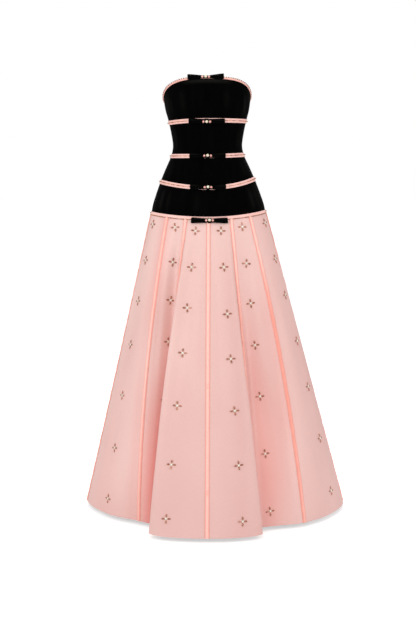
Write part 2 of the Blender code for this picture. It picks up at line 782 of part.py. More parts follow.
def build_slider():
    top, foot = SLIDER_Z + SLIDER_ABOVE, SLIDER_Z - SLIDER_BELOW
    x = slit_point(SLIDER_Z).x
    face = max(slit_point(top).y, slit_point(foot).y, slit_point(SLIDER_Z).y) + LIE_GAP
    front = face + SLIDER_THICK
    hinge_y = front + BAIL_INNER
    body = prism("zip_slider", rectangle(face, front, foot, top), 0,
                 x - SLIDER_HALF_WIDTH, x + SLIDER_HALF_WIDTH, METAL)
    sink = SLIDER_THICK / 4
    bail = prism("bail_shape", bail_outline(hinge_y, SLIDER_Z, front - sink), 0,
                 x - BAIL_HALF, x + BAIL_HALF, METAL)
    deep = min(slit_point(top).y, slit_point(foot).y) - KEY_REACH
    key = prism("key_shape", rectangle(deep, face + sink, foot + sink, top - sink), 0,
                x - KEY_HALF, x + KEY_HALF, METAL)
    combine(body, bail, "UNION")
    combine(body, key, "UNION")

    half = PULL_EYE_HALF + 2 * EYE_BAR
    outline = [
        (-half, EYE_BAR), (-half, -PULL_EYE_DOWN), (-1.5 * half, -0.6 * PULL_LENGTH),
        (-1.5 * half, -0.92 * PULL_LENGTH), (-0.8 * half, -PULL_LENGTH),
        (0.8 * half, -PULL_LENGTH), (1.5 * half, -0.92 * PULL_LENGTH),
        (1.5 * half, -0.6 * PULL_LENGTH), (half, -PULL_EYE_DOWN), (half, EYE_BAR),
    ]
    pull = prism("zip_pull", outline, 1, -EYE_BAR, EYE_BAR, METAL)
    eye = prism("eye_shape", rectangle(-PULL_EYE_HALF, PULL_EYE_HALF, -PULL_EYE_DOWN, -EYE_BAR),
                1, -2 * EYE_BAR, 2 * EYE_BAR, METAL)
    pull.location = (x, hinge_y, SLIDER_Z)
    eye.location = pull.location
    combine(pull, eye, "DIFFERENCE")


# ---------------------------------------------------------------- the gown

build_tiers()
build_neckline_trim()
for ribbon in BANDS[:-1]:
    build_bodice_band(ribbon)
build_hip_band()
build_gores()
for seam_number, gore in enumerate(GORES):
    under_bow = BANDS[-1].bow_drop + BOW_ROWS[-1].half_height
    start = under_bow if gore.start == 0.0 else BANDS[-1].half
    build_piping(seam_number, start + 2 * SEAM_GAP)
build_bows()
build_zip()
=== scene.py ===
# %% [markdown]
# # A strapless gown of velvet tiers over a gored satin skirt
# The real gown is cut flat and sewn: four velvet tiers with bound seams, twelve
# satin gores with a covered cord on each seam, five velvet bows, and sewn stones.
# The frame that is loaded here has each of those pieces as a plain solid. This
# lesson puts a finer piece on each solid, in the same place and at the same size.

# %% Load the frame
import json
import math
import random
from collections import namedtuple

import bpy
import numpy as np
from mathutils import Matrix, Vector

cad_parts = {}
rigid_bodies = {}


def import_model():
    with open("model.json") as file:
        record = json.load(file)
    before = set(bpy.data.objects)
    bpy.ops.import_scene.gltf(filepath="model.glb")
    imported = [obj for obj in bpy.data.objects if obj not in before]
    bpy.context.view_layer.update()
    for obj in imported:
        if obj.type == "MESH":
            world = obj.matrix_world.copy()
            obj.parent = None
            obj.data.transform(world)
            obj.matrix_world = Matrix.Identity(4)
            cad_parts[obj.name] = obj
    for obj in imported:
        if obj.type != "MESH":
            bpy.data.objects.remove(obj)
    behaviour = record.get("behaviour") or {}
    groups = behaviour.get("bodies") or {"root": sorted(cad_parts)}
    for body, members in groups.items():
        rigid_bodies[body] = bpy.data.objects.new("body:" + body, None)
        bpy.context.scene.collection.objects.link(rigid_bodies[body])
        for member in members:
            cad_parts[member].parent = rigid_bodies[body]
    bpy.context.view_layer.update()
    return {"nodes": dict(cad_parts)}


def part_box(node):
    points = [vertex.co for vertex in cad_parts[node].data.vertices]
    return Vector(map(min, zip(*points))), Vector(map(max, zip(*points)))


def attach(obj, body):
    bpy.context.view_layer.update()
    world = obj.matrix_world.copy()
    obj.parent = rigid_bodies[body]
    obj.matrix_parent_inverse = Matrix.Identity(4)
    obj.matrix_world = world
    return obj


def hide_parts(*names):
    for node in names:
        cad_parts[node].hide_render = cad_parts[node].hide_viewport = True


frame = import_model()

# %% [markdown]
# ## The sizes of the gown
# Every piece lies on one of two surfaces, so a few tables describe them all. The
# bodice is a stack of ellipses. The skirt starts on the hip seam and runs down to
# a folded hem. Angles go round the body in degrees: 0 is the centre front, 90 the
# side at +X and 180 the centre back. Lengths are in metres.

# %% Sizes of cloth and trimmings
VELVET_WALL = 0.0020
SATIN_WALL = 0.0016
SEAM_GAP = 0.0003
LIE_GAP = 0.0004
HEM_Z = -1.184
NECK_FRONT_Z = 0.2075
NECK_LEFT_Z = 0.1425
NECK_RIGHT_Z = 0.1510
NECK_BACK_Z = 0.1220
NECK_LEFT_FALL = 2.5  # the larger, the flatter the edge across the bust
NECK_RIGHT_FALL = 3.0
NECK_BACK_RUN = 42.0
TRIM_HEIGHT = 0.0058
RIBBON_LIFT = 0.0018
PIPING_HALF = 0.0066
PIPING_LIFT = 0.0030
ZIP_HALF_GAP = 0.0008
BAND_END_GAP = 0.0042
BODICE_RADIUS = 0.09  # turns a gap beside a seam into degrees
LEAST_SHEET = 0.0101  # no sheet is declared narrower
BOW_HALF = 0.0556
BOW_THICK = 0.0052
PEARL_RADIUS = 0.0054
BEAD_PITCH = 0.0098
FLOWER_DOWN = (0.035, 0.155, 0.290, 0.435, 0.605, 0.780, 0.950)
FLOWER_DOWN_OF = {
    "gore_front_left": (0.035, 0.150, 0.275, 0.410, 0.600, 0.780, 0.950),
    "gore_front_left_centre": (0.042, 0.160, 0.290, 0.433, 0.598, 0.780, 0.945),
    "gore_front_right_centre": (0.042, 0.160, 0.310, 0.452, 0.614, 0.782, 0.952),
    "gore_front_right": (0.035, 0.155, 0.285, 0.420, 0.585, 0.768, 0.952),
    "gore_side_front_right": (0.035, 0.155, 0.275, 0.428, 0.580, 0.753, 0.930),
}

# %% Tables of the bodice
# height, shift to the side, half width, depth in front and depth behind
SECTIONS = np.array((
    (-0.24, 0.0015, 0.188, 0.137, 0.147), (-0.2, 0.0015, 0.1822, 0.129, 0.14),
    (-0.165, 0.001, 0.171, 0.1215, 0.132), (-0.13, 0.0005, 0.1582, 0.114, 0.122),
    (-0.095, 0, 0.144, 0.106, 0.11), (-0.065, -0.0003, 0.1306, 0.0985, 0.099),
    (-0.04, -0.0008, 0.1192, 0.092, 0.089), (-0.02, -0.0012, 0.1138, 0.088, 0.084),
    (0, -0.0015, 0.1124, 0.087, 0.082), (0.04, -0.0018, 0.1186, 0.091, 0.085),
    (0.075, -0.002, 0.1262, 0.099, 0.089), (0.11, -0.0025, 0.1355, 0.109, 0.093),
    (0.15, -0.003, 0.1403, 0.113, 0.095), (0.175, -0.0035, 0.1395, 0.109, 0.093),
    (0.205, -0.004, 0.137, 0.102, 0.088), (0.23, -0.0045, 0.135, 0.096, 0.085),
))
Band = namedtuple("Band", "name front left right back half bow_x bow_drop")
BANDS = (
    Band("band_1_under_bust", 0.0740, 0.0672, 0.0729, 0.0690, 0.0066, -0.0039, 0.0015),
    Band("band_2_waist", -0.0387, -0.0395, -0.0350, -0.0390, 0.0066, -0.0013, 0.0005),
    Band("band_3_high_hip", -0.1386, -0.1212, -0.1120, -0.1200, 0.0066, 0.0000, -0.0005),
    Band("band_4_hip", -0.2345, -0.2220, -0.2165, -0.2210, 0.0046, 0.0045, 0.0085),
)

# %% Tables of the skirt
# From centre back by way of the left side: angle, then where the hem is, across and
# ahead, and how far the cloth bulges out on the way down to it.
FOLDS = np.array((
    (-180, 0.004, -0.425, 0), (-167, -0.112, -0.412, 0), (-157.5, -0.17, -0.352, 0.008),
    (-146, -0.186, -0.29, 0), (-135, -0.236, -0.262, 0.014), (-112.5, -0.345, -0.155, 0.004),
    (-90, -0.404, 0, -0.002), (-67.5, -0.328, 0.166, 0.013), (-45, -0.219, 0.255, 0.038),
    (-38.5, -0.183, 0.284, 0.021), (-30, -0.141, 0.288, 0), (-22.5, -0.154, 0.344, 0.018),
    (-17, -0.181, 0.392, 0.028), (-11.25, -0.132, 0.431, 0.006), (0, -0.003, 0.45, 0),
    (11.25, 0.108, 0.437, 0.004), (17, 0.166, 0.402, 0.012), (22.5, 0.155, 0.343, 0.005),
    (33, 0.192, 0.318, 0.008), (45, 0.304, 0.275, 0.024), (67.5, 0.412, 0.142, 0.014),
    (90, 0.45, 0, 0), (112.5, 0.386, -0.16, 0.004), (135, 0.268, -0.258, 0.014),
    (145, 0.196, -0.3, 0), (157.5, 0.172, -0.362, 0.008), (168, 0.112, -0.41, 0),
    (180, 0.004, -0.425, 0),
))
Gore = namedtuple("Gore", "name start end")
GORE_STARTS = {
    "back_left_centre": -180.0, "back_left": -157.5, "side_back_left": -135.0,
    "side_front_left": -90.0, "front_left": -45.0, "front_left_centre": -22.5,
    "front_right_centre": 0.0, "front_right": 22.5, "side_front_right": 45.0,
    "side_back_right": 90.0, "back_right": 135.0, "back_right_centre": 157.5,
}
SEAMS = np.array(list(GORE_STARTS.values()))
GORES = [Gore("gore_" + name, start, end)
         for (name, start), end in zip(GORE_STARTS.items(), [*SEAMS[1:].tolist(), 180.0])]

# %% [markdown]
# ## Curves and surfaces
# A smooth curve through a short table is kinder to cloth than straight runs, which
# look like folded card. The functions below take whole arrays of angles at once,
# which keeps a fine mesh quick to work out. Each surface comes as a frame: the
# point itself and the direction straight out of the cloth.

# %% A smooth curve through a table
def hermite(knots, values, at):
    """Smooth curve through the rows of values, one for each knot."""
    knots, values, at = np.asarray(knots), np.asarray(values), np.asarray(at, float)
    spread = (-1,) + (1,) * (values.ndim - 1)
    low = np.clip(np.arange(len(knots)) - 1, 0, None)
    high = np.clip(np.arange(len(knots)) + 1, None, len(knots) - 1)
    slopes = (values[high] - values[low]) / (knots[high] - knots[low]).reshape(spread)
    i = np.clip(np.searchsorted(knots, at) - 1, 0, len(knots) - 2)
    span = knots[i + 1] - knots[i]
    t = (at - knots[i]) / span
    if values.ndim > 1:
        t, span = t[..., None], span[..., None]
    return ((2 * t**3 - 3 * t**2 + 1) * values[i] + (t**3 - 2 * t**2 + t) * span * slopes[i]
            + (3 * t**2 - 2 * t**3) * values[i + 1] + (t**3 - t**2) * span * slopes[i + 1])


def ease(share):
    """From 0 to 1 with soft ends."""
    t = np.clip(share, 0.0, 1.0)
    return t * t * (3 - 2 * t)


def marks(rows, angle, place, softness):
    """Sum of soft marks; a row gives angle, width, two ends and how much at the middle."""
    total = 0.0
    for middle_angle, width, first, last, amount in rows:
        middle, half = (first + last) / 2, abs(first - last) / 2
        fade = ease(softness * (1 - np.abs(place - middle) / half))
        total = total + amount * fade * np.exp(-((angle - middle_angle) / width)**2)
    return total


def unit(vectors):
    return vectors / np.linalg.norm(vectors, axis=-1, keepdims=True)


# %% The bodice surface
SECTION_Z, SECTION_SIZES = SECTIONS[:, 0], SECTIONS[:, 1:]


def bodice(angle, z):
    angle, z = np.broadcast_arrays(np.asarray(angle, float), np.asarray(z, float))
    a = np.radians(angle)
    shift, half, front, back = np.moveaxis(hermite(SECTION_Z, SECTION_SIZES, z), -1, 0)
    depth = np.where(np.cos(a) > 0, front, back)
    return np.stack([shift + half * np.sin(a), -depth * np.cos(a), z], axis=-1)


def seam_height(band, angle):
    angle = np.asarray(angle, float)
    a = np.radians(angle)
    side = np.where(angle > 0, band.right, band.left)
    centre = np.where(np.cos(a) > 0, band.front, band.back)
    return side + (centre - side) * np.cos(a)**2


def neck_height(angle):
    angle = np.asarray(angle, float)
    past, on_right = np.abs(angle), angle > 0
    side = np.where(on_right, NECK_RIGHT_Z, NECK_LEFT_Z)
    fall = np.where(on_right, NECK_RIGHT_FALL, NECK_LEFT_FALL)
    ahead = NECK_FRONT_Z + (side - NECK_FRONT_Z) * (past / 90.0)**fall
    share = np.clip((past - 90.0) / NECK_BACK_RUN, 0.0, 1.0)
    behind = side + (NECK_BACK_Z - side) * (1 - (1 - share)**2)
    return np.where(past <= 90.0, ahead, behind)


# %% The skirt surface
def hip_line(angle):
    return bodice(angle, seam_height(BANDS[-1], angle))


FOLD_ANGLES = FOLDS[:, 0]
FOLD_REACH = FOLDS[:, 1:3] * (1, -1) - hip_line(FOLD_ANGLES)[:, :2]
FOLD_BULGE = unit(FOLD_REACH) * FOLDS[:, 3:]
TURN_KNOTS = np.concatenate([[FOLD_ANGLES[-2] - 360], FOLD_ANGLES, [FOLD_ANGLES[1] + 360]])


def around_once(rows, angle):
    return hermite(TURN_KNOTS, np.concatenate([rows[-2:-1], rows, rows[1:2]]), angle)


def skirt(angle, down):
    angle, down = np.broadcast_arrays(np.asarray(angle, float), np.asarray(down, float))
    hip, share = hip_line(angle), down[..., None]
    plan = hip[..., :2] + around_once(FOLD_REACH, angle) * share
    plan = plan + around_once(FOLD_BULGE, angle) * 4.0 * share * (1.0 - share)
    z = hip[..., 2] + (HEM_Z - hip[..., 2]) * down
    return np.concatenate([plan, z[..., None]], axis=-1)


def frame_on(surface, angle, place, turn, rise):
    """The point, and the direction straight out, from two short steps round and up."""
    around = surface(angle + turn, place) - surface(angle - turn, place)
    up = surface(angle, place + rise) - surface(angle, place - rise)
    return surface(angle, place), unit(np.cross(around, up))


def bodice_frame(angle, z):
    return frame_on(bodice, angle, z, 0.2, 0.0005)


def skirt_frame(angle, down):
    return frame_on(skirt, angle, down, 0.15, -0.002)


def degree_span(angle, down):
    """Width of the skirt's cloth for one degree."""
    return np.linalg.norm(skirt(angle + 0.5, down) - skirt(angle - 0.5, down), axis=-1)


def gown_frame(angle, z):
    """The bodice, or below the hip seam the skirt."""
    angle, z = np.broadcast_arrays(np.asarray(angle, float), np.asarray(z, float))
    hip = seam_height(BANDS[-1], angle)
    on_bodice, on_skirt = bodice_frame(angle, z), skirt_frame(angle, (hip - z) / (hip - HEM_Z))
    below = (z < hip)[..., None]
    return tuple(np.where(below, s, b) for s, b in zip(on_skirt, on_bodice))


node_low, node_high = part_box("gore_front_right_centre")
print("hem centre", skirt(0.0, 1.0), "gore box", node_low, node_high)

# %% [markdown]
# ## Finishes
# A finish is a small network of nodes: colour, roughness and bump, each with its
# own fine pattern. Velvet is nearly black and only its pile catches light at a
# slant, which is what the sheen setting is for. Duchess satin has long threads on
# its face, so its pattern is fine streaks that follow the cloth's own UV map.
# Two finishes also carry painted light: painted sheen on the velvet and painted shade on the
# satins, read from numbers kept on the cloth.

# %% Helpers for finishes
def shade(red, green, blue):
    """Linear colour from the 0 to 255 numbers that a colour picker shows."""
    values = [v / 255 for v in (red, green, blue)]
    return tuple(v / 12.92 if v <= 0.04045 else ((v + 0.055) / 1.055)**2.4
                 for v in values) + (1.0,)


WHITE = (1.0,) * 4


def new_finish(name, **sockets):
    finish = bpy.data.materials.new(name)
    finish.use_nodes = True
    shader = finish.node_tree.nodes["Principled BSDF"]
    for socket, value in sockets.items():
        shader.inputs[socket.replace("_", " ").title().replace("Ior", "IOR")].default_value = value
    return finish


def add_node(finish, kind, inputs=None, **settings):
    """Outputs of a new node; each input is a value or another node's output."""
    node = finish.node_tree.nodes.new(kind)
    for key, value in settings.items():
        setattr(node, key, value)
    for key, value in (inputs or {}).items():
        if isinstance(value, bpy.types.NodeSocket):
            finish.node_tree.links.new(value, node.inputs[key])
        else:
            node.inputs[key].default_value = value
    return node.outputs


def streaks(finish, coordinate, scale, detail=2.0):
    """Noise stretched by a Mapping node, so that it can run as threads or strokes."""
    place = add_node(finish, "ShaderNodeTexCoord")[coordinate]
    mapped = add_node(finish, "ShaderNodeMapping", {"Vector": place, "Scale": scale})["Vector"]
    return add_node(finish, "ShaderNodeTexNoise", {"Vector": mapped, "Scale": 1.0,
                                                   "Detail": detail, "Roughness": 0.5})["Fac"]


def between(finish, factor, low, high, start=0.35, end=0.65):
    """A colour that goes from low to high as the factor rises."""
    colour = add_node(finish, "ShaderNodeValToRGB", {"Fac": factor})["Color"]
    ends = colour.node.color_ramp.elements
    for stop, place, tone in zip(ends, (start, end), (low, high)):
        stop.position, stop.color = place, tone
    return colour


def numbers(finish, factor, low, high):
    """A number that goes from low to high as the factor rises."""
    return add_node(finish, "ShaderNodeMapRange", {
        "Value": factor, "From Min": 0.3, "From Max": 0.7,
        "To Min": low, "To Max": high})["Result"]


def blend(finish, first, second, share=1.0, kind="MULTIPLY"):
    return add_node(finish, "ShaderNodeMix", {"Factor": share, 6: first, 7: second},
                    data_type="RGBA", blend_type=kind)[2]


def noted(finish, name, low, high):
    """A colour that follows a number kept at each point of the cloth."""
    share = add_node(finish, "ShaderNodeAttribute", attribute_name=name)["Fac"]
    return between(finish, share, low, high, 0.0, 1.0)


def set_looks(finish, colour, rough=None, height=None, distance=0.0, strength=0.0):
    bump = height and add_node(finish, "ShaderNodeBump", {
        "Height": height, "Strength": strength, "Distance": distance})["Normal"]
    shader = finish.node_tree.nodes["Principled BSDF"]
    for socket, source in (("Base Color", colour), ("Roughness", rough), ("Normal", bump)):
        if source:
            finish.node_tree.links.new(source, shader.inputs[socket])
    return finish


# %% Velvet and its woven back
def velvet_finish(name):
    finish = new_finish(name, roughness=0.9, specular_ior_level=0.02,
                        sheen_weight=0.045, sheen_roughness=0.28)
    brushed = streaks(finish, "Object", (46.0, 46.0, 9.0), 3.0)
    pile_and_sheen = streaks(finish, "Object", (1500.0, 1500.0, 1100.0), 1.0)
    colour = between(finish, brushed, shade(1, 1, 1), shade(5, 5, 5))
    colour = blend(finish, colour, between(finish, pile_and_sheen, (0.55,) * 3 + (1,), WHITE))
    # painted sheen: a lighter grey added where a note on the cloth says the pile catches light
    sheen_colour = noted(finish, "raised_pile", shade(0, 0, 0), shade(30, 30, 27))
    colour = blend(finish, colour, sheen_colour, kind="ADD")
    return set_looks(finish, colour, numbers(finish, brushed, 0.8, 1.0), pile_and_sheen, 0.0005, 0.6)


def weave_finish(name, dark, light, pitch):
    """Plain weave: two thread directions crossed on the piece's UV map."""
    finish = new_finish(name, roughness=0.75, specular_ior_level=0.25)
    place = add_node(finish, "ShaderNodeTexCoord")["UV"]
    waves = [add_node(finish, "ShaderNodeTexWave",
                      {"Vector": place, "Scale": 0.314 / pitch, "Distortion": 0.4},
                      wave_type="BANDS", bands_direction=direction)["Fac"] for direction in "XY"]
    weave = add_node(finish, "ShaderNodeMath", dict(enumerate(waves)),
                     operation="MULTIPLY")["Value"]
    cloth = between(finish, weave, shade(*dark), shade(*light), 0.0, 0.8)
    return set_looks(finish, cloth, None, weave, 0.0003, 0.4)


VELVET = velvet_finish("black_velvet_pile")
VELVET_BACK = weave_finish("black_velvet_back", (9, 9, 10), (26, 26, 28), 0.0011)


# %% Satins
def satin_finish(name, low, high, thread, roughness, deep=None, dim=None):
    """Satin: soft clouds of tone under fine threads; deep is the colour of painted shade in
    folds and of a darker own tone, and dim that of painted shade where it turns from the light."""
    finish = new_finish(name, roughness=roughness, specular_ior_level=0.35,
                        sheen_weight=0.06, sheen_roughness=0.35)
    clouds = streaks(finish, "Object", (3.0, 3.0, 1.6))
    threads = streaks(finish, "UV", (1500.0, 130.0, 1.0))
    slubs = streaks(finish, "UV", (60.0, 14.0, 1.0))
    colour = between(finish, clouds, shade(*low), shade(*high))
    colour = blend(finish, colour, between(finish, threads, shade(*thread), WHITE), 0.35)
    for name_of_note, full in (("hollow", deep), ("turned_away", dim)):
        if full is not None:
            colour = blend(finish, colour, noted(finish, name_of_note, WHITE, full))
    return set_looks(finish, colour, numbers(finish, slubs, roughness - 0.03, roughness + 0.04),
                     threads, 0.0002, 0.35)


# deep and dim are the colours of painted shade; on the cords deep also gives the darker joins and
# the roll's own tone
SATIN = satin_finish("blush_satin_face", (232, 193, 186), (241, 207, 200), (242, 228, 224), 0.46,
                     deep=(0.92, 0.50, 0.475, 1.0), dim=(0.64, 0.39, 0.40, 1.0))
SATIN_BACK = weave_finish("blush_satin_back", (214, 160, 152), (232, 186, 178), 0.0009)
PIPING = satin_finish("peach_satin_cord", (252, 207, 196), (254, 214, 204), (244, 214, 206), 0.30,
                      deep=(0.97, 0.60, 0.54, 1.0))
RIBBON = satin_finish("pink_satin_ribbon", (253, 203, 193), (255, 214, 205), (226, 196, 190), 0.40)


# %% Stones, pearls and metal
def stone_finish(name, low, high, roughness, metallic=0.0, coat=0.6, scale=260.0):
    finish = new_finish(name, roughness=roughness, metallic=metallic, coat_weight=coat,
                        coat_roughness=0.06)
    spots = streaks(finish, "Object", (scale,) * 3, 1.0)
    return set_looks(finish, between(finish, spots, shade(*low), shade(*high)),
                     numbers(finish, spots, roughness * 0.8, roughness * 1.3))


ROSE_STONE = stone_finish("smoky_rose_stone", (132, 70, 58), (196, 124, 106), 0.16, 0.15)
ROSE_METAL = stone_finish("rose_metal_setting", (168, 116, 94), (204, 156, 130), 0.32, 0.7, 0.1)
CLEAR_STONE = stone_finish("pale_centre_stone", (222, 226, 204), (244, 246, 232), 0.10)
PEARL = stone_finish("cream_pearl", (232, 222, 192), (244, 236, 214), 0.22, 0.0, 0.5, 180.0)
PINK_STONE = stone_finish("pink_side_stone", (226, 150, 140), (244, 190, 180), 0.14)
GOLD_BEAD = stone_finish("gold_seed_bead", (160, 108, 58), (200, 148, 88), 0.26, 0.5, 0.2)
GARNET_BEAD = stone_finish("garnet_seed_bead", (104, 30, 26), (150, 56, 46), 0.18)
DARK_METAL = stone_finish("dark_zip_metal", (78, 78, 82), (98, 98, 102), 0.34, 1.0, 0.0, 1400.0)
print("finishes", [finish.name for finish in bpy.data.materials if finish.use_nodes][-14:])

# %% [markdown]
# ## From a grid of points to a piece of cloth
# Cloth is a wall: a face, a back and a narrow edge all round. Blender's Solidify
# could thicken a sheet, but here both layers are worked out from the same surface,
# so a wall keeps its true thickness and its back can have its own finish. The UV
# map is measured in metres along the cloth, so a weave has its real scale.

# %% Helpers for meshes
def make_piece(name, points, faces, finishes, indices, uv, sharp):
    mesh = bpy.data.meshes.new(name)
    mesh.from_pydata(np.asarray(points).reshape(-1, 3).tolist(), [], [tuple(f) for f in faces])
    for finish in finishes:
        mesh.materials.append(finish)
    if indices is not None:
        mesh.polygons.foreach_set("material_index", np.asarray(indices, np.int32))
    if uv is not None:
        corners = np.empty(len(mesh.loops), np.int32)
        mesh.loops.foreach_get("vertex_index", corners)
        layer = mesh.uv_layers.new(name="cloth")
        layer.data.foreach_set("uv", np.asarray(uv, float).reshape(-1, 2)[corners].ravel())
    mesh.shade_smooth()
    mesh.set_sharp_from_angle(angle=math.radians(sharp))
    mesh.update()
    piece = bpy.data.objects.new(name, mesh)
    bpy.context.scene.collection.objects.link(piece)
    return piece


def wall_faces(rows, columns):
    """Face, back and the edge round a wall whose back follows its face."""
    deep = rows * columns
    at = np.arange(deep).reshape(rows, columns)
    face = np.stack([at[:-1, :-1], at[1:, :-1], at[1:, 1:], at[:-1, 1:]], axis=-1).reshape(-1, 4)
    rim = np.concatenate([at[0, :-1], at[:-1, -1], at[-1, :0:-1], at[:0:-1, 0]])
    after = np.roll(rim, -1)
    edge = np.stack([rim, after, after + deep, rim + deep], axis=1)
    # the first column's edge is split along its other diagonal
    edge[1 - rows:] = np.roll(edge[1 - rows:], -1, axis=1)
    indices = np.zeros(2 * len(face) + len(edge), int)
    indices[len(face):2 * len(face)] = 1
    return np.concatenate([face, face[:, ::-1] + deep, edge]), indices


def lengths_along(points, axis):
    """Distance walked along the grid, in metres."""
    steps = np.linalg.norm(np.diff(points, axis=axis), axis=-1)
    start = np.zeros_like(np.take(steps, [0], axis=axis))
    return np.cumsum(np.concatenate([start, steps], axis=axis), axis=axis)


def cloth_wall(name, face, back, finishes, sharp=38.0):
    rows, columns = face.shape[:2]
    faces, indices = wall_faces(rows, columns)
    across, down = lengths_along(face, 1), lengths_along(face, 0)
    across = across - across[:, columns // 2:columns // 2 + 1]
    uv = np.stack([across, -down], axis=-1)
    return make_piece(name, np.concatenate([face, back]), faces, finishes, indices,
                      np.concatenate([uv, uv]), sharp)


def swept_bar(name, rings, finishes, sharp, inside_out=False):
    """A closed bar through rings of equal count; inside_out when they run the other way."""
    count, around = rings.shape[:2]
    at = np.arange(count * around).reshape(count, around)
    beside = np.roll(at, -1, axis=1)
    quads = np.stack([at[:-1], beside[:-1], beside[1:], at[1:]], axis=-1).reshape(-1, 4)
    faces = quads.tolist() + [at[0, ::-1].tolist(), at[-1].tolist()]
    if inside_out:
        faces = [face[::-1] for face in faces]
    along = lengths_along(rings.mean(axis=1, keepdims=True), 0)
    uv = np.stack([lengths_along(rings, 1), np.broadcast_to(along, (count, around))], axis=-1)
    return make_piece(name, rings, faces, finishes, None, uv, sharp)


def note(piece, name, values):
    """Keep a number from 0 to 1 at each point of a piece, for its finish to read."""
    layer = piece.data.attributes.new(name, "FLOAT", "POINT")
    layer.data.foreach_set("value", np.asarray(values, np.float32).ravel())


def dress(piece, slot, *nodes):
    """The piece moves with the gown and stands for its nodes, which are hidden; slot is not used.
    """
    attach(piece, "gown")
    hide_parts(*nodes)


def tell(title, cuts):
    print(title, {name: [round(float(size), 4) for size in cut] for name, cut in cuts.items()})


# %% [markdown]
# ## Velvet tiers
# Each tier is three panels: a front and two backs that meet at the zip. Stiffened
# velvet lies smooth, but its pile shows every soft pull, so the panels get a few
# shallow ridges: one under the neckline, and upright ones beside the bust and
# over the hips. They fade out before the bands, where the seam holds the cloth.
# Lighter streaks of painted sheen lie under the neckline and beside some ridges.

# %% Soft ridges in the velvet
RIDGES = (
    (-66, 5, 0.16, 0.078, 0.0016), (-52, 6, 0.15, 0.082, -0.0012),
    (57, 5.5, 0.165, 0.078, 0.0014), (68, 5, 0.14, 0.08, -0.0012),
    (-14, 24, 0.206, 0.172, 0.002), (20, 22, 0.205, 0.174, 0.0016),
    (-58, 5, 0.062, -0.03, 0.001), (61, 5, 0.06, -0.028, 0.001),
    (-30, 7, -0.045, -0.118, 0.0009), (34, 7, -0.05, -0.12, 0.0009),
    (-56, 5, -0.13, -0.222, 0.0018), (-44, 6, -0.135, -0.225, -0.0012),
    (50, 5.5, -0.132, -0.222, 0.0017), (61, 5, -0.128, -0.218, -0.0012),
    (-118, 6, 0.128, 0.075, 0.0012), (124, 6, 0.126, 0.074, 0.0012),
    (-140, 8, 0.06, -0.03, 0.001), (133, 7, 0.058, -0.032, 0.0011),
    (-127, 7, -0.128, -0.218, 0.0015), (121, 6, -0.126, -0.216, 0.0015),
    (-152, 6, -0.13, -0.215, -0.001), (149, 7, -0.128, -0.216, -0.001),
)
RIDGE_CLEAR = 0.0085  # the bands lie flat, so ridges start beyond them
RIDGE_FADE = 0.0140
RIDGE_SOFT, SHEEN_SOFT, CREASE_SOFT, SHADE_SOFT = 1.2, 1.3, 1.6, 1.3


def velvet_rise(angle, z):
    rise = marks(RIDGES, angle, z, RIDGE_SOFT)
    rise = rise * ease((neck_height(angle) - TRIM_HEIGHT - z) / RIDGE_CLEAR)
    for band in BANDS:
        rise = rise * ease((np.abs(z - seam_height(band, angle)) - RIDGE_CLEAR) / RIDGE_FADE)
    beside_slit = ease((180.0 - np.abs(angle)) / 8.0 - 0.3)
    return rise * beside_slit


# painted sheen: lighter streaks of pile beside the bust, over the hips and at the back
SHEEN_STROKES = (
    (-64, 3.5, 0.165, 0.08, 0.34), (-57, 2, 0.15, 0.085, 0.22), (-35, 5, 0.185, 0.09, 0.12),
    (26, 4, 0.18, 0.1, 0.12), (60, 3, 0.165, 0.08, 0.28), (-62, 4, 0.062, -0.03, 0.16),
    (58, 4, 0.058, -0.028, 0.16), (-60, 3.5, -0.05, -0.118, 0.14),
    (56, 4, -0.048, -0.112, 0.14), (-58, 3, -0.132, -0.222, 0.3),
    (-47, 2.5, -0.136, -0.226, 0.16), (-12, 4, -0.15, -0.23, 0.1), (52, 3, -0.13, -0.22, 0.26),
    (64, 3, -0.126, -0.216, 0.2), (-125, 5, -0.128, -0.218, 0.28),
    (120, 4, -0.126, -0.214, 0.26), (-134, 5, 0.058, -0.03, 0.18), (128, 5, 0.11, -0.03, 0.2),
)
NECK_SHEEN = (0.0110, 0.0042, 30.0)  # painted sheen below the neckline: how far under the edge, how tall and how far round


def painted_sheen_share(angle, z):
    """Painted sheen: where the velvet is made lighter as if its pile caught light, from 0 to 1."""
    under, tall, reach = NECK_SHEEN
    below_edge = np.exp(-((neck_height(angle) - z - under) / tall)**2)
    ahead = np.exp(-(angle / reach)**4)
    return np.clip(below_edge * ahead + marks(SHEEN_STROKES, angle, z, SHEEN_SOFT), 0.0, 1.0)


# %% The twelve velvet panels
TIER_STEP = 2.25  # degrees between columns
TIER_ROWS = 22
TRIM_ROLL = 0.0032  # how far the neckline roll reaches down over the velvet
TIER_PANELS = (
    ("front", -90.0, 90.0, SEAM_GAP / 2, SEAM_GAP / 2),
    ("back_right", 90.0, 180.0, SEAM_GAP / 2, ZIP_HALF_GAP),
    ("back_left", -180.0, -90.0, ZIP_HALF_GAP, SEAM_GAP / 2),
)


def panel_angles(start, end, start_gap, end_gap):
    """Even columns, with the first and last drawn in by the seam gaps."""
    angles = np.linspace(start, end, round((end - start) / TIER_STEP) + 1)
    angles[0] += math.degrees(start_gap / BODICE_RADIUS)
    angles[-1] -= math.degrees(end_gap / BODICE_RADIUS)
    return angles


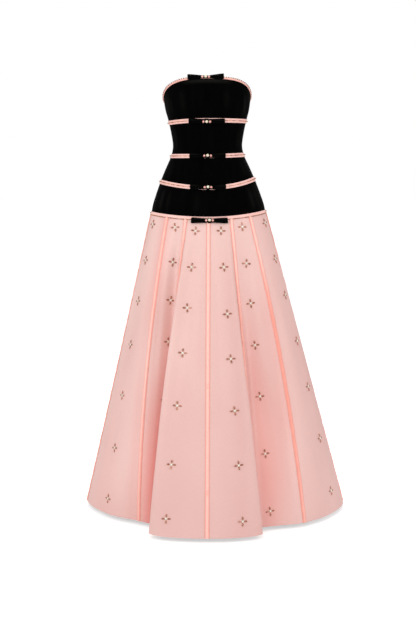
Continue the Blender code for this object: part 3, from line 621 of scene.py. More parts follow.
velvet_cut = {}
for tier, band in enumerate(BANDS):
    for side, *ends in TIER_PANELS:
        angles = panel_angles(*ends)
        if tier == 0:
            top = neck_height(angles) - TRIM_ROLL
        else:
            top = seam_height(BANDS[tier - 1], angles) - SEAM_GAP / 2
        bottom = seam_height(band, angles) + SEAM_GAP / 2
        z = top + (bottom - top) * np.linspace(0.0, 1.0, TIER_ROWS)[:, None]
        point, out = bodice_frame(np.broadcast_to(angles, z.shape), z)
        rise = velvet_rise(angles, z)[..., None]
        panel = cloth_wall(f"velvet_tier_{tier + 1}_{side}", point + out * rise,
                           point + out * (rise - VELVET_WALL), [VELVET, VELVET_BACK])
        # the number that places painted sheen on the pile
        note(panel, "raised_pile", [painted_sheen_share(angles, z)] * 2)
        dress(panel, "black_velvet", f"tier_{tier + 1}_{side}")
        wide = lengths_along(point, 1)[:, -1]
        tall = lengths_along(point, 0)[-1]
        velvet_cut[panel.name] = (wide.max(), tall.max(), wide.mean() * tall.mean())
tell("velvet panels, flat:", velvet_cut)

# %% [markdown]
# ## Satin gores
# A gore is narrow at the hip and wide at the hem. Heavy satin stands away from the
# body in a few big folds, which the table of folds has already made. What is left
# are long shallow creases that hang from the hip, and small puckers where the
# cloth is drawn in by each seam. Both are given, and none repeats evenly.
# The satin's colour is also darkened with painted shade inside its folds and where it turns from
# the light.

# %% Creases and puckers of the satin, and its painted shade
CREASES = (
    (-83, 3.6, 0.02, 0.55, 0.0014), (-72, 4.6, 0.1, 0.98, -0.0018), (-58, 4, 0.04, 0.7, 0.0014),
    (-50, 2.6, 0.3, 1.05, -0.0016), (-41, 1.6, 0.02, 0.6, -0.0014),
    (-34, 2, 0.35, 1.05, 0.0014), (-18.5, 1.8, 0.05, 0.8, 0.002), (-13, 2, 0.1, 0.95, -0.0018),
    (-5, 1.8, 0.02, 0.62, 0.0014), (5.5, 2, 0.08, 0.74, -0.0014),
    (12.5, 2.2, 0.15, 1.05, 0.0018), (19, 1.8, 0.04, 0.66, -0.002),
    (27.5, 2, 0.2, 1.05, 0.0026), (38.5, 2, 0.02, 0.58, -0.0024), (42, 1.6, 0.4, 1.05, 0.0018),
    (53, 3.4, 0.03, 0.7, 0.0016), (64, 4.2, 0.16, 1.05, -0.002), (79, 4, 0.02, 0.82, 0.0016),
    (96, 3.6, 0.06, 0.9, -0.0034), (108, 4, 0.2, 1.05, 0.0036), (124, 3.2, 0.03, 0.72, -0.003),
    (139, 2, 0.1, 0.95, 0.0024), (152, 2, 0.04, 0.66, -0.0022), (163, 2.2, 0.18, 1.05, 0.0022),
    (172, 2, 0.05, 0.75, -0.0018), (-173, 2.2, 0.06, 0.92, 0.002),
    (-164, 1.8, 0.03, 0.64, -0.0022), (-151, 2.2, 0.15, 1.05, 0.0024),
    (-140, 2, 0.05, 0.78, -0.0024), (-126, 3.2, 0.1, 1.05, 0.0034),
    (-113, 3.6, 0.04, 0.72, -0.0036), (-99, 3.4, 0.22, 1.05, 0.0032),
)
PUCKER_RISE = 0.00075
PUCKER_REACH = 0.016
PUCKER_WAVES = ((57.0, 0.3, 0.55), (91.0, 1.7, 0.30), (33.0, 0.9, 0.40))
# painted shade: how much darker the satin is made inside each fold
FOLD_SHADE_ROWS = (
    (-26.5, 3.2, 0.06, 1.3, 0.55), (-22.8, 1.5, -0.1, 0.85, 0.55), (-34, 8, 0.26, 1.55, 0.42),
    (-38.5, 6, 0.4, 1.8, 0.66), (-49.5, 4, 0.25, 1.3, 0.2), (-72, 13, 0.15, 1.6, 0.1),
    (31.5, 6, 0.18, 1.22, 0.5), (34, 6, 0.55, 1.8, 0.2), (39, 4.5, 0.48, 1, 0.18),
    (24.5, 3, 0.1, 1.2, 0.2), (43.5, 3.5, 0.08, 0.9, 0.26), (58, 10, -0.2, 0.8, 0.07),
    (-46, 7, -0.3, 0.5, 0.34), (146, 8, 0.05, 1.2, 0.6), (131, 6, 0.2, 0.95, 0.25),
    (-146, 8, 0.05, 1.2, 0.62), (-130, 6, 0.25, 1, 0.25),
)
# painted shade where the satin turns from the lamps: towards the sides of the room and the floor
TURN_SHADE_ROWS = (
    (80, 22, -0.4, 1.6, 0.3), (56, 9, 0.6, 1.5, 0.12), (14, 3.5, 0, 1, 0.14),
    (9, 11, 0.38, 1.28, 0.23), (-11, 13, 0.38, 1.18, 0.23), (-84, 12, -0.4, 0.34, 0.2),
)


def painted_shade_share(rows, angle, down):
    """Share of painted shade from 0 to 1, summed from a table's rows."""
    return np.clip(marks(rows, angle, down, SHADE_SOFT), 0.0, 1.0)


def pucker_rise(angle, down):
    """Small waves beside the nearest seam."""
    off = (angle[..., None] - SEAMS + 180.0) % 360.0 - 180.0
    nearest = np.abs(off).argmin(axis=-1)
    away = np.take_along_axis(off, nearest[..., None], axis=-1)[..., 0] * degree_span(angle, down)
    wave = 0.0
    for count, phase, share in PUCKER_WAVES:
        wave = wave + share * np.sin(count * down * (1 + 0.1 * np.sin(5 * nearest)) * 2.0
                                     + phase * (nearest + 1) + np.sign(away))
    return PUCKER_RISE * wave * np.exp(-(away / PUCKER_REACH)**2)


def satin_frame(angle, down):
    angle, down = np.broadcast_arrays(np.asarray(angle, float), np.asarray(down, float))
    point, out = skirt_frame(angle, down)
    rise = marks(CREASES, angle, down, CREASE_SOFT) + pucker_rise(angle, down)
    rise = rise * ease((down - 0.008) / 0.05)   # the hip seam holds the cloth smooth
    return point + out * rise[..., None], out


def skirt_share(angle, distance):
    """Share of the way to the hem that lies a distance below the hip seam."""
    return distance / (hip_line(angle)[..., 2] - HEM_Z)


# %% The twelve gores
GORE_STEP = 0.75  # degrees between columns
GORE_ROWS = 132
satin_cut = {}
for gore in GORES:
    count = round((gore.end - gore.start) / GORE_STEP) + 1
    angles = np.linspace(gore.start, gore.end, count)
    down = np.linspace(0.0, 1.0, GORE_ROWS)[:, None] * np.ones(count)
    down[0] = skirt_share(angles, SEAM_GAP / 2)
    span = degree_span(angles[[0, -1]], down[:, [0, -1]])
    turned = np.broadcast_to(angles, down.shape).copy()
    turned[:, 0] += SEAM_GAP / 2 / span[:, 0]
    turned[:, -1] -= SEAM_GAP / 2 / span[:, 1]
    face, out = satin_frame(turned, down)
    panel = cloth_wall("satin_" + gore.name, face, face - out * SATIN_WALL, [SATIN, SATIN_BACK])
    # painted shade: darker inside the folds, and where the satin turns from the light
    note(panel, "hollow", [painted_shade_share(FOLD_SHADE_ROWS, turned, down)] * 2)
    note(panel, "turned_away", [painted_shade_share(TURN_SHADE_ROWS, turned, down)] * 2)
    dress(panel, "blush_satin", gore.name)
    wide, tall = lengths_along(face, 1)[:, -1], lengths_along(face, 0)[-1]
    satin_cut[panel.name] = (wide[-1], tall.mean(), (wide[0] + wide[-1]) / 2 * tall.mean())
tell("gores, flat:", satin_cut)

# %% [markdown]
# ## Covered cords on the skirt seams
# Each seam is covered by a narrow satin strip over a cord, stitched down on both
# sides, so it has a round middle and two thin flanges. It is swept down the seam:
# at each row a short profile is laid on the two gores. The cover is drawn a
# little tight, which leaves uneven ribs across the cord.

# %% Seam strips
CORD_SHARE = 0.80  # of the strip's half width
CORD_PLACES = np.array((-1.0, -0.90, -0.80, -0.62, -0.40, -0.15,
                        0.15, 0.40, 0.62, 0.80, 0.90, 1.0))
SOLE_PLACES = CORD_PLACES[[-1, 5, 0]]
FLANK_SHADE = 0.95  # painted shade: the flanks lie in the shade of the cord
# painted shade on each seam's strip, deeper where the strip turns from the lamps
CORD_SHADES = {-90: 0.45, -45: 0.05, -22.5: 0.70, 0: 0.0, 22.5: 0.30, 45: 0.75, 90: 0.55}
OTHER_CORD_SHADE = 0.30
FLANGE = 0.0006
STRIP_ROW = 0.0026
STRIP_UNDER_BOW = 0.0050  # the centre strip starts this far under the bow's middle
RIB_RISE = 0.00042
RIB_WAVES = ((0.0089, 0.5), (0.0133, 0.35), (0.0061, 0.3))
STRIP_JOINS = {0: (0.536, 0.863)}  # where the cover of a strip is pieced, down its seam
JOIN_HALF, JOIN_WIDTH, JOIN_DENT, JOIN_TONE = 0.0042, 0.0020, 0.0007, 0.45
JOIN_REACH = 0.7  # a join dents the cord but not the flanges


def join_share(seam, down, length):
    """1 on the two stitched lines of each join in a strip's cover, and 0 elsewhere."""
    share = np.zeros_like(down)
    for place in STRIP_JOINS.get(seam, ()):
        off = np.abs(down - place) * length - JOIN_HALF
        share = share + np.exp(-(off / JOIN_WIDTH)**2)
    return share


def strip_height(place, along, number):
    """How far the strip stands off the satin at a place from -1 to 1 across it."""
    cord = np.sqrt(np.clip(1 - (place / CORD_SHARE)**2, 0, None))
    ribs = sum(s * np.sin(2 * math.pi * along / w + number * 2.1 + 9 * w * along / 0.01)
               for w, s in RIB_WAVES)
    return FLANGE + (PIPING_LIFT - FLANGE) * cord + RIB_RISE * ribs * (0.25 + cord)


strip_cut = {}
for number, gore in enumerate(GORES):
    seam = gore.start
    top_edge = BANDS[-1].bow_drop + STRIP_UNDER_BOW if seam == 0 else BANDS[-1].half
    first = float(skirt_share(np.array(seam), top_edge + 2 * SEAM_GAP))
    length = float(np.linalg.norm(skirt(seam, 1.0) - skirt(seam, first)))
    rows = round(length / STRIP_ROW)
    down = np.linspace(first, 1.0, rows)[:, None]
    span = degree_span(seam, down)
    face, out = satin_frame(seam + CORD_PLACES * PIPING_HALF / span, down)
    joins = join_share(seam, down, length)
    lift = LIE_GAP + strip_height(CORD_PLACES, (down - first) * length, number)
    lift = lift - JOIN_DENT * joins * (np.abs(CORD_PLACES) < JOIN_REACH)
    sole, sole_out = satin_frame(seam + SOLE_PLACES * PIPING_HALF / span, down)
    top = face + out * lift[..., None]
    strip = swept_bar(f"seam_strip_{number + 1:02d}",
                      np.concatenate([top, sole + sole_out * LIE_GAP], axis=1),
                      [PIPING], 60.0, inside_out=True)
    # painted shade on the flanks, for each seam and from the satin's tables; the joins' stitched
    # lines are darker in their own colour
    flank = FLANK_SHADE * ease((np.abs(np.append(CORD_PLACES, SOLE_PLACES)) - 0.48) / 0.35)
    tone = CORD_SHADES.get(seam, OTHER_CORD_SHADE) * ease((down - 0.10) / 0.25)
    tone = tone * ease((1.25 - down) / 0.5) + JOIN_TONE * joins
    note(strip, "hollow", np.clip(painted_shade_share(FOLD_SHADE_ROWS + TURN_SHADE_ROWS, seam, down) + flank + tone, 0, 1))
    dress(strip, "peach_piping", f"piping_{number + 1:02d}")
    width = np.linalg.norm(np.diff(top[rows // 2], axis=0), axis=-1).sum()
    strip_cut[strip.name] = (max(width, LEAST_SHEET), length)
tell("strips, flat:", strip_cut)

# %% [markdown]
# ## Small things that repeat
# Beads and stones repeat by the hundred, so each is modelled once, with Blender's
# own tools, from few faces. A helper then reads that one shape and lays
# its copies into one joined mesh, which is far lighter than hundreds of objects.

# %% Helpers for modelled shapes
def mode(name):
    bpy.ops.object.mode_set(mode=name)


def resize(*value):
    bpy.ops.transform.resize(value=value)


def pull_out(height):
    """Extrude the picked faces along Z."""
    bpy.ops.mesh.extrude_region_move(TRANSFORM_OT_translate={"value": (0, 0, height)})


def edit(step, *values, **settings):
    """Take one step on the active object in edit mode."""
    mode("EDIT")
    step(*values, **settings)
    mode("OBJECT")


def pick(shape, faces=None, points=None):
    """Stay in edit mode with only the faces, or points, for which the test holds."""
    edit(bpy.ops.mesh.select_mode, type="FACE" if faces else "VERT")
    edit(bpy.ops.mesh.select_all, action="DESELECT")
    for part in shape.data.polygons if faces else shape.data.vertices:
        part.select = bool(faces(part) if faces else points(part.co))
    mode("EDIT")


def paint(slot_number):
    """Give the picked faces a finish, then leave edit mode."""
    bpy.context.object.active_material_index = slot_number
    bpy.ops.object.material_slot_assign()
    mode("OBJECT")


def faces_up(face):
    return face.normal.z > 0.9


def start_shape(add, finishes, **size):
    bpy.ops.object.select_all(action="DESELECT")
    add(**size)
    shape = bpy.context.active_object
    for finish in finishes:
        shape.data.materials.append(finish)
    return shape


Shape = namedtuple("Shape", "points faces indices finishes")


def read_shape(shape):
    """Take the modelled mesh as arrays and remove the model."""
    mesh = shape.data
    world = np.array(shape.matrix_world)
    points = np.array([v.co[:] for v in mesh.vertices]) @ world[:3, :3].T + world[:3, 3]
    read = Shape(points, [list(p.vertices) for p in mesh.polygons],
                 [p.material_index for p in mesh.polygons], list(mesh.materials))
    bpy.data.objects.remove(shape, do_unlink=True)
    return read


def lay_copies(name, copies, sharp=30.0):
    """One joined mesh of (shape, 4x4 place) pairs."""
    points, faces, indices, first = [], [], [], 0
    finishes = list(dict.fromkeys(finish for shape, _ in copies for finish in shape.finishes))
    for shape, place in copies:
        slots = [finishes.index(finish) for finish in shape.finishes]
        points.append(shape.points @ place[:3, :3].T + place[:3, 3])
        faces += [[first + v for v in face] for face in shape.faces]
        indices += [slots[i] for i in shape.indices]
        first += len(shape.points)
    return make_piece(name, np.concatenate(points), faces, finishes, indices, None, sharp)


def placed(point, out, up, turn=0.0, size=1.0):
    """A place whose local Z points out of the cloth and local Y runs up it."""
    out = unit(np.asarray(out, float))
    right = unit(np.cross(up, out))
    up = np.cross(out, right)
    c, s = math.cos(turn) * size, math.sin(turn) * size
    place = np.eye(4)
    place[:3, 0] = right * c + up * s
    place[:3, 1] = up * c - right * s
    place[:3, 2] = out * size
    place[:3, 3] = point
    return place


# %% [markdown]
# ### A petal stone
# The stones on the skirt are pointed ovals in thin metal settings. A cylinder with
# twelve sides is stretched to an oval and its flanks are drawn in, so that the two
# ends come to a point. The top face is inset and raised to make a bevelled crown.

# %% The petal stone
PETAL_LENGTH = 0.0108
PETAL_WIDTH = 0.0060
PETAL_FOOT = 0.0010
PETAL_CROWN = 0.0014
petal = start_shape(bpy.ops.mesh.primitive_cylinder_add, [ROSE_METAL, ROSE_STONE], vertices=12,
                    radius=PETAL_WIDTH / 2, depth=PETAL_FOOT, location=(0, 0, PETAL_FOOT / 2))
edit(resize, 1.0, PETAL_LENGTH / PETAL_WIDTH, 1.0)
pick(petal, points=lambda co: abs(co.y) < 0.49 * PETAL_LENGTH)
resize(1.0, 0.86, 1.0)
mode("OBJECT")
pick(petal, faces=faces_up)
bpy.ops.mesh.inset(thickness=0.00045)
paint(1)
pick(petal, faces=lambda face: faces_up(face) and face.material_index == 1)
pull_out(PETAL_CROWN)
resize(0.50, 0.62, 1.0)
paint(1)
print("petal faces", len(petal.data.polygons), "size", list(petal.dimensions))
PETAL = read_shape(petal)


# %% The centre stone and the beads
def round_bead(finish, radius, segments, rings, flat):
    """A ball pressed a little flat, with its two ends pushed in like a drilled bead."""
    bead = start_shape(bpy.ops.mesh.primitive_uv_sphere_add, [finish],
                       segments=segments, ring_count=rings, radius=radius)
    edit(resize, 1.0, 1.0, flat)
    pick(bead, points=lambda co: abs(co.z) > 0.985 * radius * flat)
    resize(1.0, 1.0, 0.82)
    mode("OBJECT")
    return read_shape(bead)


CENTRE_RADIUS = 0.0035
SEED_RADIUS = 0.00115
CENTRE = round_bead(CLEAR_STONE, CENTRE_RADIUS, 10, 6, 0.75)
SEED_GOLD, SEED_GARNET, SEED_PINK = (round_bead(finish, SEED_RADIUS, 7, 4, 0.85)
                                     for finish in (GOLD_BEAD, GARNET_BEAD, PINK_STONE))
print("bead faces", len(SEED_GOLD.faces), "centre faces", len(CENTRE.faces))

# %% [markdown]
# ## Flowers on the gores
# Seven flowers run down the middle of each gore, four petals and a centre stone
# sewn on by hand. Hand sewing is never quite straight, so each flower is turned a
# little, by a random number with a fixed seed, which gives the same gown each run.

# %% Lay the flowers
PETAL_OUT = 0.0095  # from the flower's centre to the middle of a petal
PETAL_TILT = math.radians(7.0)
PETAL_LIFT = 0.0002
PETAL_SEAT = 0.0004  # room under a petal for its tilt
CENTRE_LIFT = 0.0016
hand = random.Random(11)


def flower_copies(point, out, up):
    turn = math.radians(hand.uniform(-7.0, 7.0))
    copies = [(CENTRE, placed(point + out * CENTRE_LIFT, out, up))]
    for k in range(4):
        around = turn + math.radians(90.0 * k + hand.uniform(-4.0, 4.0))
        place = placed(point + out * PETAL_LIFT, out, up, around)
        lean = Matrix.Rotation(PETAL_TILT * hand.uniform(0.4, 1.2), 4, "X")
        reach = np.eye(4)
        reach[1, 3] = PETAL_OUT + hand.uniform(-0.0003, 0.0004)
        reach[2, 3] = PETAL_SEAT
        copies.append((PETAL, place @ reach @ np.array(lean)))
    return copies


for gore in GORES:
    copies = []
    for down in FLOWER_DOWN_OF.get(gore.name, FLOWER_DOWN):
        middle = (gore.start + gore.end) / 2
        point, out = satin_frame(middle, down)
        above, _ = satin_frame(middle, down - 0.01)
        copies += flower_copies(point, out, above - point)
    dress(lay_copies("flowers_" + gore.name[5:], copies), "pearl", gore.name)
print("flowers on each gore", len(FLOWER_DOWN), "stones", len(copies))

# %% [markdown]
# ## Ribbon bands and neckline
# A satin ribbon with a cord in each edge covers every tier seam, and a row of seed
# beads runs along its middle. The narrow hip band has its beads below it. A swept
# profile makes each band: two half-round edges with a flat run between them.

# %% Ribbon bands
BAND_STEP = 1.25  # degrees between rings
EDGE_CORD = 0.0015  # half the height of the cord in a ribbon's edge
HIP_CORD = 0.0011
EDGE_LIFT = 0.0011  # half its thickness
RIBBON_FLAT = 0.0010
CORDED = 1.06  # a corded edge takes up this much more ribbon
LEAST_BAND = 0.0102
SEED_PITCH = 0.0043
SEED_SIZE = 1.25
SEED_KINDS = (SEED_GOLD, SEED_GOLD, SEED_GARNET)
SIDE_BEADS = (-90.0, -84.5, 84.5, 90.0)
SIDE_BEAD_SIZE = 2.0
SIDE_BEAD_LIFT = 0.0034
UP = np.array([0.0, 0.0, 1.0])


def band_profile(half, cord):
    """Height and lift of the profile, from the upper edge round to the back."""
    arc = [math.radians(a) for a in (0, 35, 70, 105, 140, 170)]
    upper = [(half - cord + cord * math.cos(a), EDGE_LIFT * (1 + math.sin(a))) for a in arc]
    flat = [((half - 2 * cord) * s, RIBBON_FLAT + 0.0002 * (1 - s * s))
            for s in (0.6, 0.2, -0.2, -0.6)]
    lower = [(-h, lift) for h, lift in reversed(upper)]
    return np.array(upper + flat + lower + [(-0.5 * half, 0.0), (0.5 * half, 0.0)])


def ring_angles():
    gap = math.degrees(BAND_END_GAP / BODICE_RADIUS)
    return np.linspace(-180 + gap, 180 - gap, round((360 - 2 * gap) / BAND_STEP))


def even_places(point_at, pitch):
    """Angles at equal steps along a line round the body."""
    angles = np.linspace(ring_angles()[0], ring_angles()[-1], 1441)
    walked = lengths_along(point_at(angles)[:, None], 0)[:, 0]
    return np.interp(np.arange(pitch / 2, walked[-1], pitch), walked, angles)


def seed_copies(band, drop, lift):
    """Seed beads along a band, except where its bow lies over them."""
    copies = []
    for angle in even_places(lambda a: gown_frame(a, seam_height(band, a) - drop)[0], SEED_PITCH):
        x = gown_frame(angle, seam_height(band, angle))[0][0]
        if abs(angle) < 90 and abs(x - band.bow_x) < BOW_HALF - 0.002:
            continue
        point, out = gown_frame(angle, seam_height(band, angle) - drop)
        shape = SEED_KINDS[hand.randrange(len(SEED_KINDS))]
        copies.append((shape, placed(point + out * (LIE_GAP + lift), UP, out, hand.uniform(0, 1),
                                     SEED_SIZE * hand.uniform(0.75, 1.45))))
    return copies


band_cut = {}
for number, band in enumerate(BANDS, 1):
    at_hip = number == len(BANDS)
    profile = band_profile(band.half, HIP_CORD if at_hip else EDGE_CORD)
    angles = ring_angles()[:, None]
    point, out = gown_frame(angles, seam_height(band, angles) + profile[:, 0])
    rings = point + out * (LIE_GAP + profile[:, 1])[:, None]
    ribbon = swept_bar("ribbon_" + band.name, rings, [RIBBON], 50.0)
    dress(ribbon, "pink_ribbon", band.name)
    band_cut[ribbon.name] = (float(lengths_along(point[:, 5:6], 0)[-1, 0]),
                             max(2 * band.half * CORDED, LEAST_BAND))
    drop, lift = (band.half + 0.0014, 0.0010) if at_hip else (0.0, RIBBON_FLAT + 0.0011)
    copies = seed_copies(band, drop, lift)
    for side_angle in SIDE_BEADS:
        point, out = gown_frame(np.array(side_angle), seam_height(band, side_angle))
        copies.append((SEED_GOLD, placed(point + out * SIDE_BEAD_LIFT, UP, out, 0.3,
                                         SIDE_BEAD_SIZE)))
    dress(lay_copies("beads_" + band.name, copies), "pearl", band.name)
tell("bands, flat:", band_cut)

# %% [markdown]
# ### The neckline roll
# The upper edge is bound: satin is folded over the velvet and filled out to a soft
# roll. Small stones stand along its outer shoulder, and they break the outline.

# %% Neckline roll and its stones
ROLL_RADIUS = 0.0021
ROLL_DROP = 0.0010  # the roll's middle under the upper edge
ROLL_LIFT = 0.0003
ROLL_FOOT = 0.0045  # its lower edge, over the raw edge of the velvet
ROLL_CORD = 0.0007
ROLL_WALL = 0.0005  # the satin is wrapped round a soft filling
ROLL_TONE = 0.30
EDGE_STONE_PITCH = 0.0080
EDGE_STONE_SIZE = 2.3
BETWEEN = 1.6  # degrees from an edge stone to the pink bead beside it
PINK_DROP, PINK_LIFT, PINK_SIZE = 0.0031, 0.0022, 0.9


def roll_profile():
    """Height from the upper edge and lift, from the back of the roll to its foot."""
    foot = ROLL_CORD - ROLL_FOOT
    roll = [(-ROLL_DROP + ROLL_RADIUS * math.sin(a), ROLL_LIFT + ROLL_RADIUS * math.cos(a))
            for a in map(math.radians, range(240, -61, -25))]
    edge = [(foot + ROLL_CORD * math.sin(a), 0.0004 + ROLL_CORD * (1 + math.cos(a)))
            for a in map(math.radians, (60, 20, -20, -60, -90))]
    return np.array(roll + [(foot + ROLL_CORD + 0.0001, 0.0013)] + edge)


def on_neckline(profile):
    """A grid that runs down the profile and round the neckline."""
    height, lift = profile[:, :1], profile[:, 1:]
    angle = ring_angles() + 0 * height
    point, out = bodice_frame(angle, neck_height(angle) + height)
    return point + out * lift[..., None]


def neck_line(angle):
    return bodice(angle, neck_height(angle))


def edge_stones():
    copies = []
    for k, angle in enumerate(even_places(neck_line, EDGE_STONE_PITCH)):
        point, out = bodice_frame(np.array(angle), neck_height(angle))
        ahead = neck_line(angle + 0.5) - neck_line(angle - 0.5)
        above = unit(np.cross(out, ahead))
        lean = unit(out * 0.55 + above * 0.95)
        seat = point - above * ROLL_DROP + out * ROLL_LIFT + lean * (ROLL_RADIUS + 0.0016)
        copies.append((SEED_GARNET if k % 2 else SEED_GOLD,
                       placed(seat, lean, ahead, 0.0, EDGE_STONE_SIZE)))
        if angle + BETWEEN <= ring_angles()[-1]:
            point, out = bodice_frame(angle + BETWEEN, neck_height(angle + BETWEEN))
            seat = point - above * PINK_DROP + out * PINK_LIFT
            copies.append((SEED_PINK, placed(seat, out, above, 0.4, PINK_SIZE)))
    return copies


profile = roll_profile()
inward = unit(np.gradient(profile, axis=0))[:, ::-1] * (-1.0, 1.0)
roll_face = on_neckline(profile)
roll = cloth_wall("neckline_roll", roll_face, on_neckline(profile + inward * ROLL_WALL),
                  [PIPING, PIPING], 50.0)
# the roll's own darker tone, kept in the same note that holds painted shade on the skirt
note(roll, "hollow", [np.full(roll_face.shape[:2], ROLL_TONE)] * 2)
dress(roll, "pink_ribbon", "neckline_trim")
dress(lay_copies("neckline_stones", edge_stones()), "pearl", "neckline_trim")

# %% [markdown]
# ## Velvet bows
# Each bow is one velvet ribbon folded into two flat loops and held by a narrow
# band. A loop is drawn as a path that leaves the knot, turns round at the end and
# comes back behind, and the ribbon's width is swept up and down across it. Near
# the knot the ribbon is gathered, so it is lower there and its face is ribbed.
# Painted sheen lightens the pleats near the knot, the swell and turn of each loop, and the knot's
# sides.

# %% The shape of a loop
Bow = namedtuple("Bow", "name node x z lift rise_left rise_right pinch knot")
BOW_SHARES = (0.0, 0.14, 0.40, 0.70, 0.93, 0.98, 1.0)
BOW_HEIGHTS = (0.0058, 0.0060, 0.0068, 0.0077, 0.0083, 0.0080, 0.0073)
RIBBON_HALF = 0.00055  # half the thickness of the velvet ribbon
KNOT_HALF = 0.0046  # half the knot's width
bow_lift = RIBBON_LIFT + 3 * LIE_GAP
BOWS = [Bow("bow_neckline", "0_neckline", -0.0073, NECK_FRONT_Z, bow_lift,
            0.0004, 0.0026, 0.36, 0.0048)]
RISES = ((0.0002, -0.0006), (0.0, 0.0014), (0.0014, 0.0), (0.0004, -0.0004))
HIP_LIFT = 0.0008  # the hip bow lies over the beads of its band
for number, (band, rises) in enumerate(zip(BANDS, RISES), 1):
    BOWS.append(Bow("bow_" + band.name[7:], f"{number}_{band.name[7:]}", band.bow_x,
                    float(seam_height(band, 0.0)) - band.bow_drop,
                    bow_lift + HIP_LIFT * (number == len(BANDS)), *rises, 0.0, 0.0078))


def angle_at(x, z):
    sizes = hermite(SECTION_Z, SECTION_SIZES, z)
    return np.degrees(np.arcsin((x - sizes[..., 0]) / sizes[..., 1]))


def on_front(x, z, lift):
    """A point in front of the gown, by its place across, its height and its lift."""
    x, z, lift = np.broadcast_arrays(x, z, lift)
    point, out = gown_frame(angle_at(x, z), z)
    return point + out * lift[..., None]


def loop_path():
    """Share of the bow's half length and depth from 0 to 1, out, round and back."""
    turn = np.radians(np.linspace(90, -90, 7))
    depth = 0.055
    ends = 1 - depth
    out_run = np.linspace(0.0, ends, 15)[:-1]
    share = np.concatenate([out_run, ends + depth * np.cos(turn), out_run[::-1]])
    level = np.concatenate([np.ones(len(out_run)), (1 + np.sin(turn)) / 2, np.zeros(len(out_run))])
    return share, level


def build_loop(bow, side):
    share, level = loop_path()
    across = np.linspace(-1.0, 1.0, 13)
    share, t = np.meshgrid(share, across, indexing="ij")
    level = np.broadcast_to(level[:, None], share.shape)
    rise = (bow.rise_right if side > 0 else bow.rise_left) * share**1.5
    half = hermite(BOW_SHARES, BOW_HEIGHTS, share) * (1 - bow.pinch * (1 - share)**1.4)
    full = BOW_THICK * (0.62 + 0.38 * np.sin(math.pi * np.clip(share, 0, 1) * 0.75))
    gather = 0.00045 * np.cos(3.3 * math.pi * t + side) * (1 - share)**2
    fold = 0.0005 * np.exp(-((t - 0.35 * side * (1 - 2 * share)) / 0.22)**2) * share
    lift = RIBBON_HALF + (full - 2 * RIBBON_HALF) * level + (gather + fold * level)
    middle = on_front(bow.x + side * share * BOW_HALF, bow.z + rise + half * t, bow.lift + lift)
    out = unit(np.cross(*np.gradient(middle, axis=(0, 1)))) * side
    # painted sheen: lighter pile on the pleats, the swell and the turn of the loop
    pleat_sheen = 0.40 * np.exp(-((np.abs(t) - 0.45) / 0.16)**2) * (1 - share)**1.5
    swell_sheen = 0.30 * np.exp(-((t - 0.55) / 0.25)**2) * ease((share - 0.35) / 0.4) * level
    turn_sheen = 0.35 * np.exp(-((share - 0.985) / 0.02)**2)
    return middle, out, pleat_sheen + swell_sheen + turn_sheen


def build_knot(bow):
    """A narrow velvet band round the gathered middle."""
    a, t = np.meshgrid(np.radians(np.linspace(0, 360, 21)), np.linspace(-1.0, 1.0, 7),
                       indexing="ij")
    tall = bow.knot * np.sign(np.sin(a)) * np.abs(np.sin(a))**0.6 * (1 + 0.08 * t * t)
    deep = 0.5 * (1 + np.sign(np.cos(a)) * np.abs(np.cos(a))**0.6)
    lift = 0.0001 + deep * (BOW_THICK * 0.66 - 0.0001) + 0.0002 * np.cos(5 * t) * deep
    return on_front(bow.x + KNOT_HALF * t, bow.z + tall, bow.lift + lift)


# %% Sew the bows
KNOT_WALL = 1.4 * RIBBON_HALF
for bow in BOWS:
    parts = []
    for side, word in ((-1, "left"), (1, "right")):
        middle, out, pile_and_sheen = build_loop(bow, side)
        half_wall = out * RIBBON_HALF
        parts.append((word + "_loop", middle + half_wall, middle - half_wall, pile_and_sheen))
    knot = build_knot(bow)
    away = unit(knot - knot.mean(axis=0, keepdims=True))
    # painted sheen, lighter towards the knot's two sides
    pile_and_sheen = np.broadcast_to(0.45 * np.abs(np.linspace(-1.0, 1.0, knot.shape[1]))**3, knot.shape[:2])
    parts.append(("knot", knot, knot - away * KNOT_WALL, pile_and_sheen))
    for word, face, back, pile_and_sheen in parts:
        ribbon = cloth_wall(f"{bow.name}_{word}", face, back, [VELVET, VELVET], 50.0)
        note(ribbon, "raised_pile", [pile_and_sheen] * 2)
        dress(ribbon, "black_velvet", "bow_" + bow.node)
        walked, wide = lengths_along(face, 0)[-1].mean(), lengths_along(face, 1)[:, -1].mean()
print("bows", [bow.name for bow in BOWS])

# %% [markdown]
# ## Jewels on the bows
# A pearl sits between two faceted stones on each knot. The pearl starts as a ball
# and gets a small gold cup at its back. A side stone starts as an eight-sided
# cylinder whose two ends are inset and drawn in, so light breaks on flat facets.

# %% Pearl and side stone
SIDE_STONE = 0.0044
pearl = start_shape(bpy.ops.mesh.primitive_uv_sphere_add, [PEARL, GOLD_BEAD],
                    segments=24, ring_count=16, radius=PEARL_RADIUS * 0.86)
pick(pearl, faces=lambda face: face.center.z < -0.55 * PEARL_RADIUS)
bpy.ops.mesh.extrude_region_shrink_fatten(TRANSFORM_OT_shrink_fatten={"value": 0.0003})
paint(1)
PEARL_SHAPE = read_shape(pearl)

stone = start_shape(bpy.ops.mesh.primitive_cylinder_add, [PINK_STONE, GOLD_BEAD],
                    vertices=8, radius=SIDE_STONE * 0.86, depth=0.0022)
pick(stone, faces=faces_up)
for height, narrower in ((0.0016, 0.62), (0.0005, 0.7)):
    pull_out(height)
    resize(narrower, narrower, 1.0)
mode("OBJECT")
pick(stone, faces=lambda face: face.normal.z < -0.9)
pull_out(-0.0012)
resize(0.7, 0.7, 1.0)
paint(1)
print("side stone faces", len(stone.data.polygons))
STONE_SHAPE = read_shape(stone)

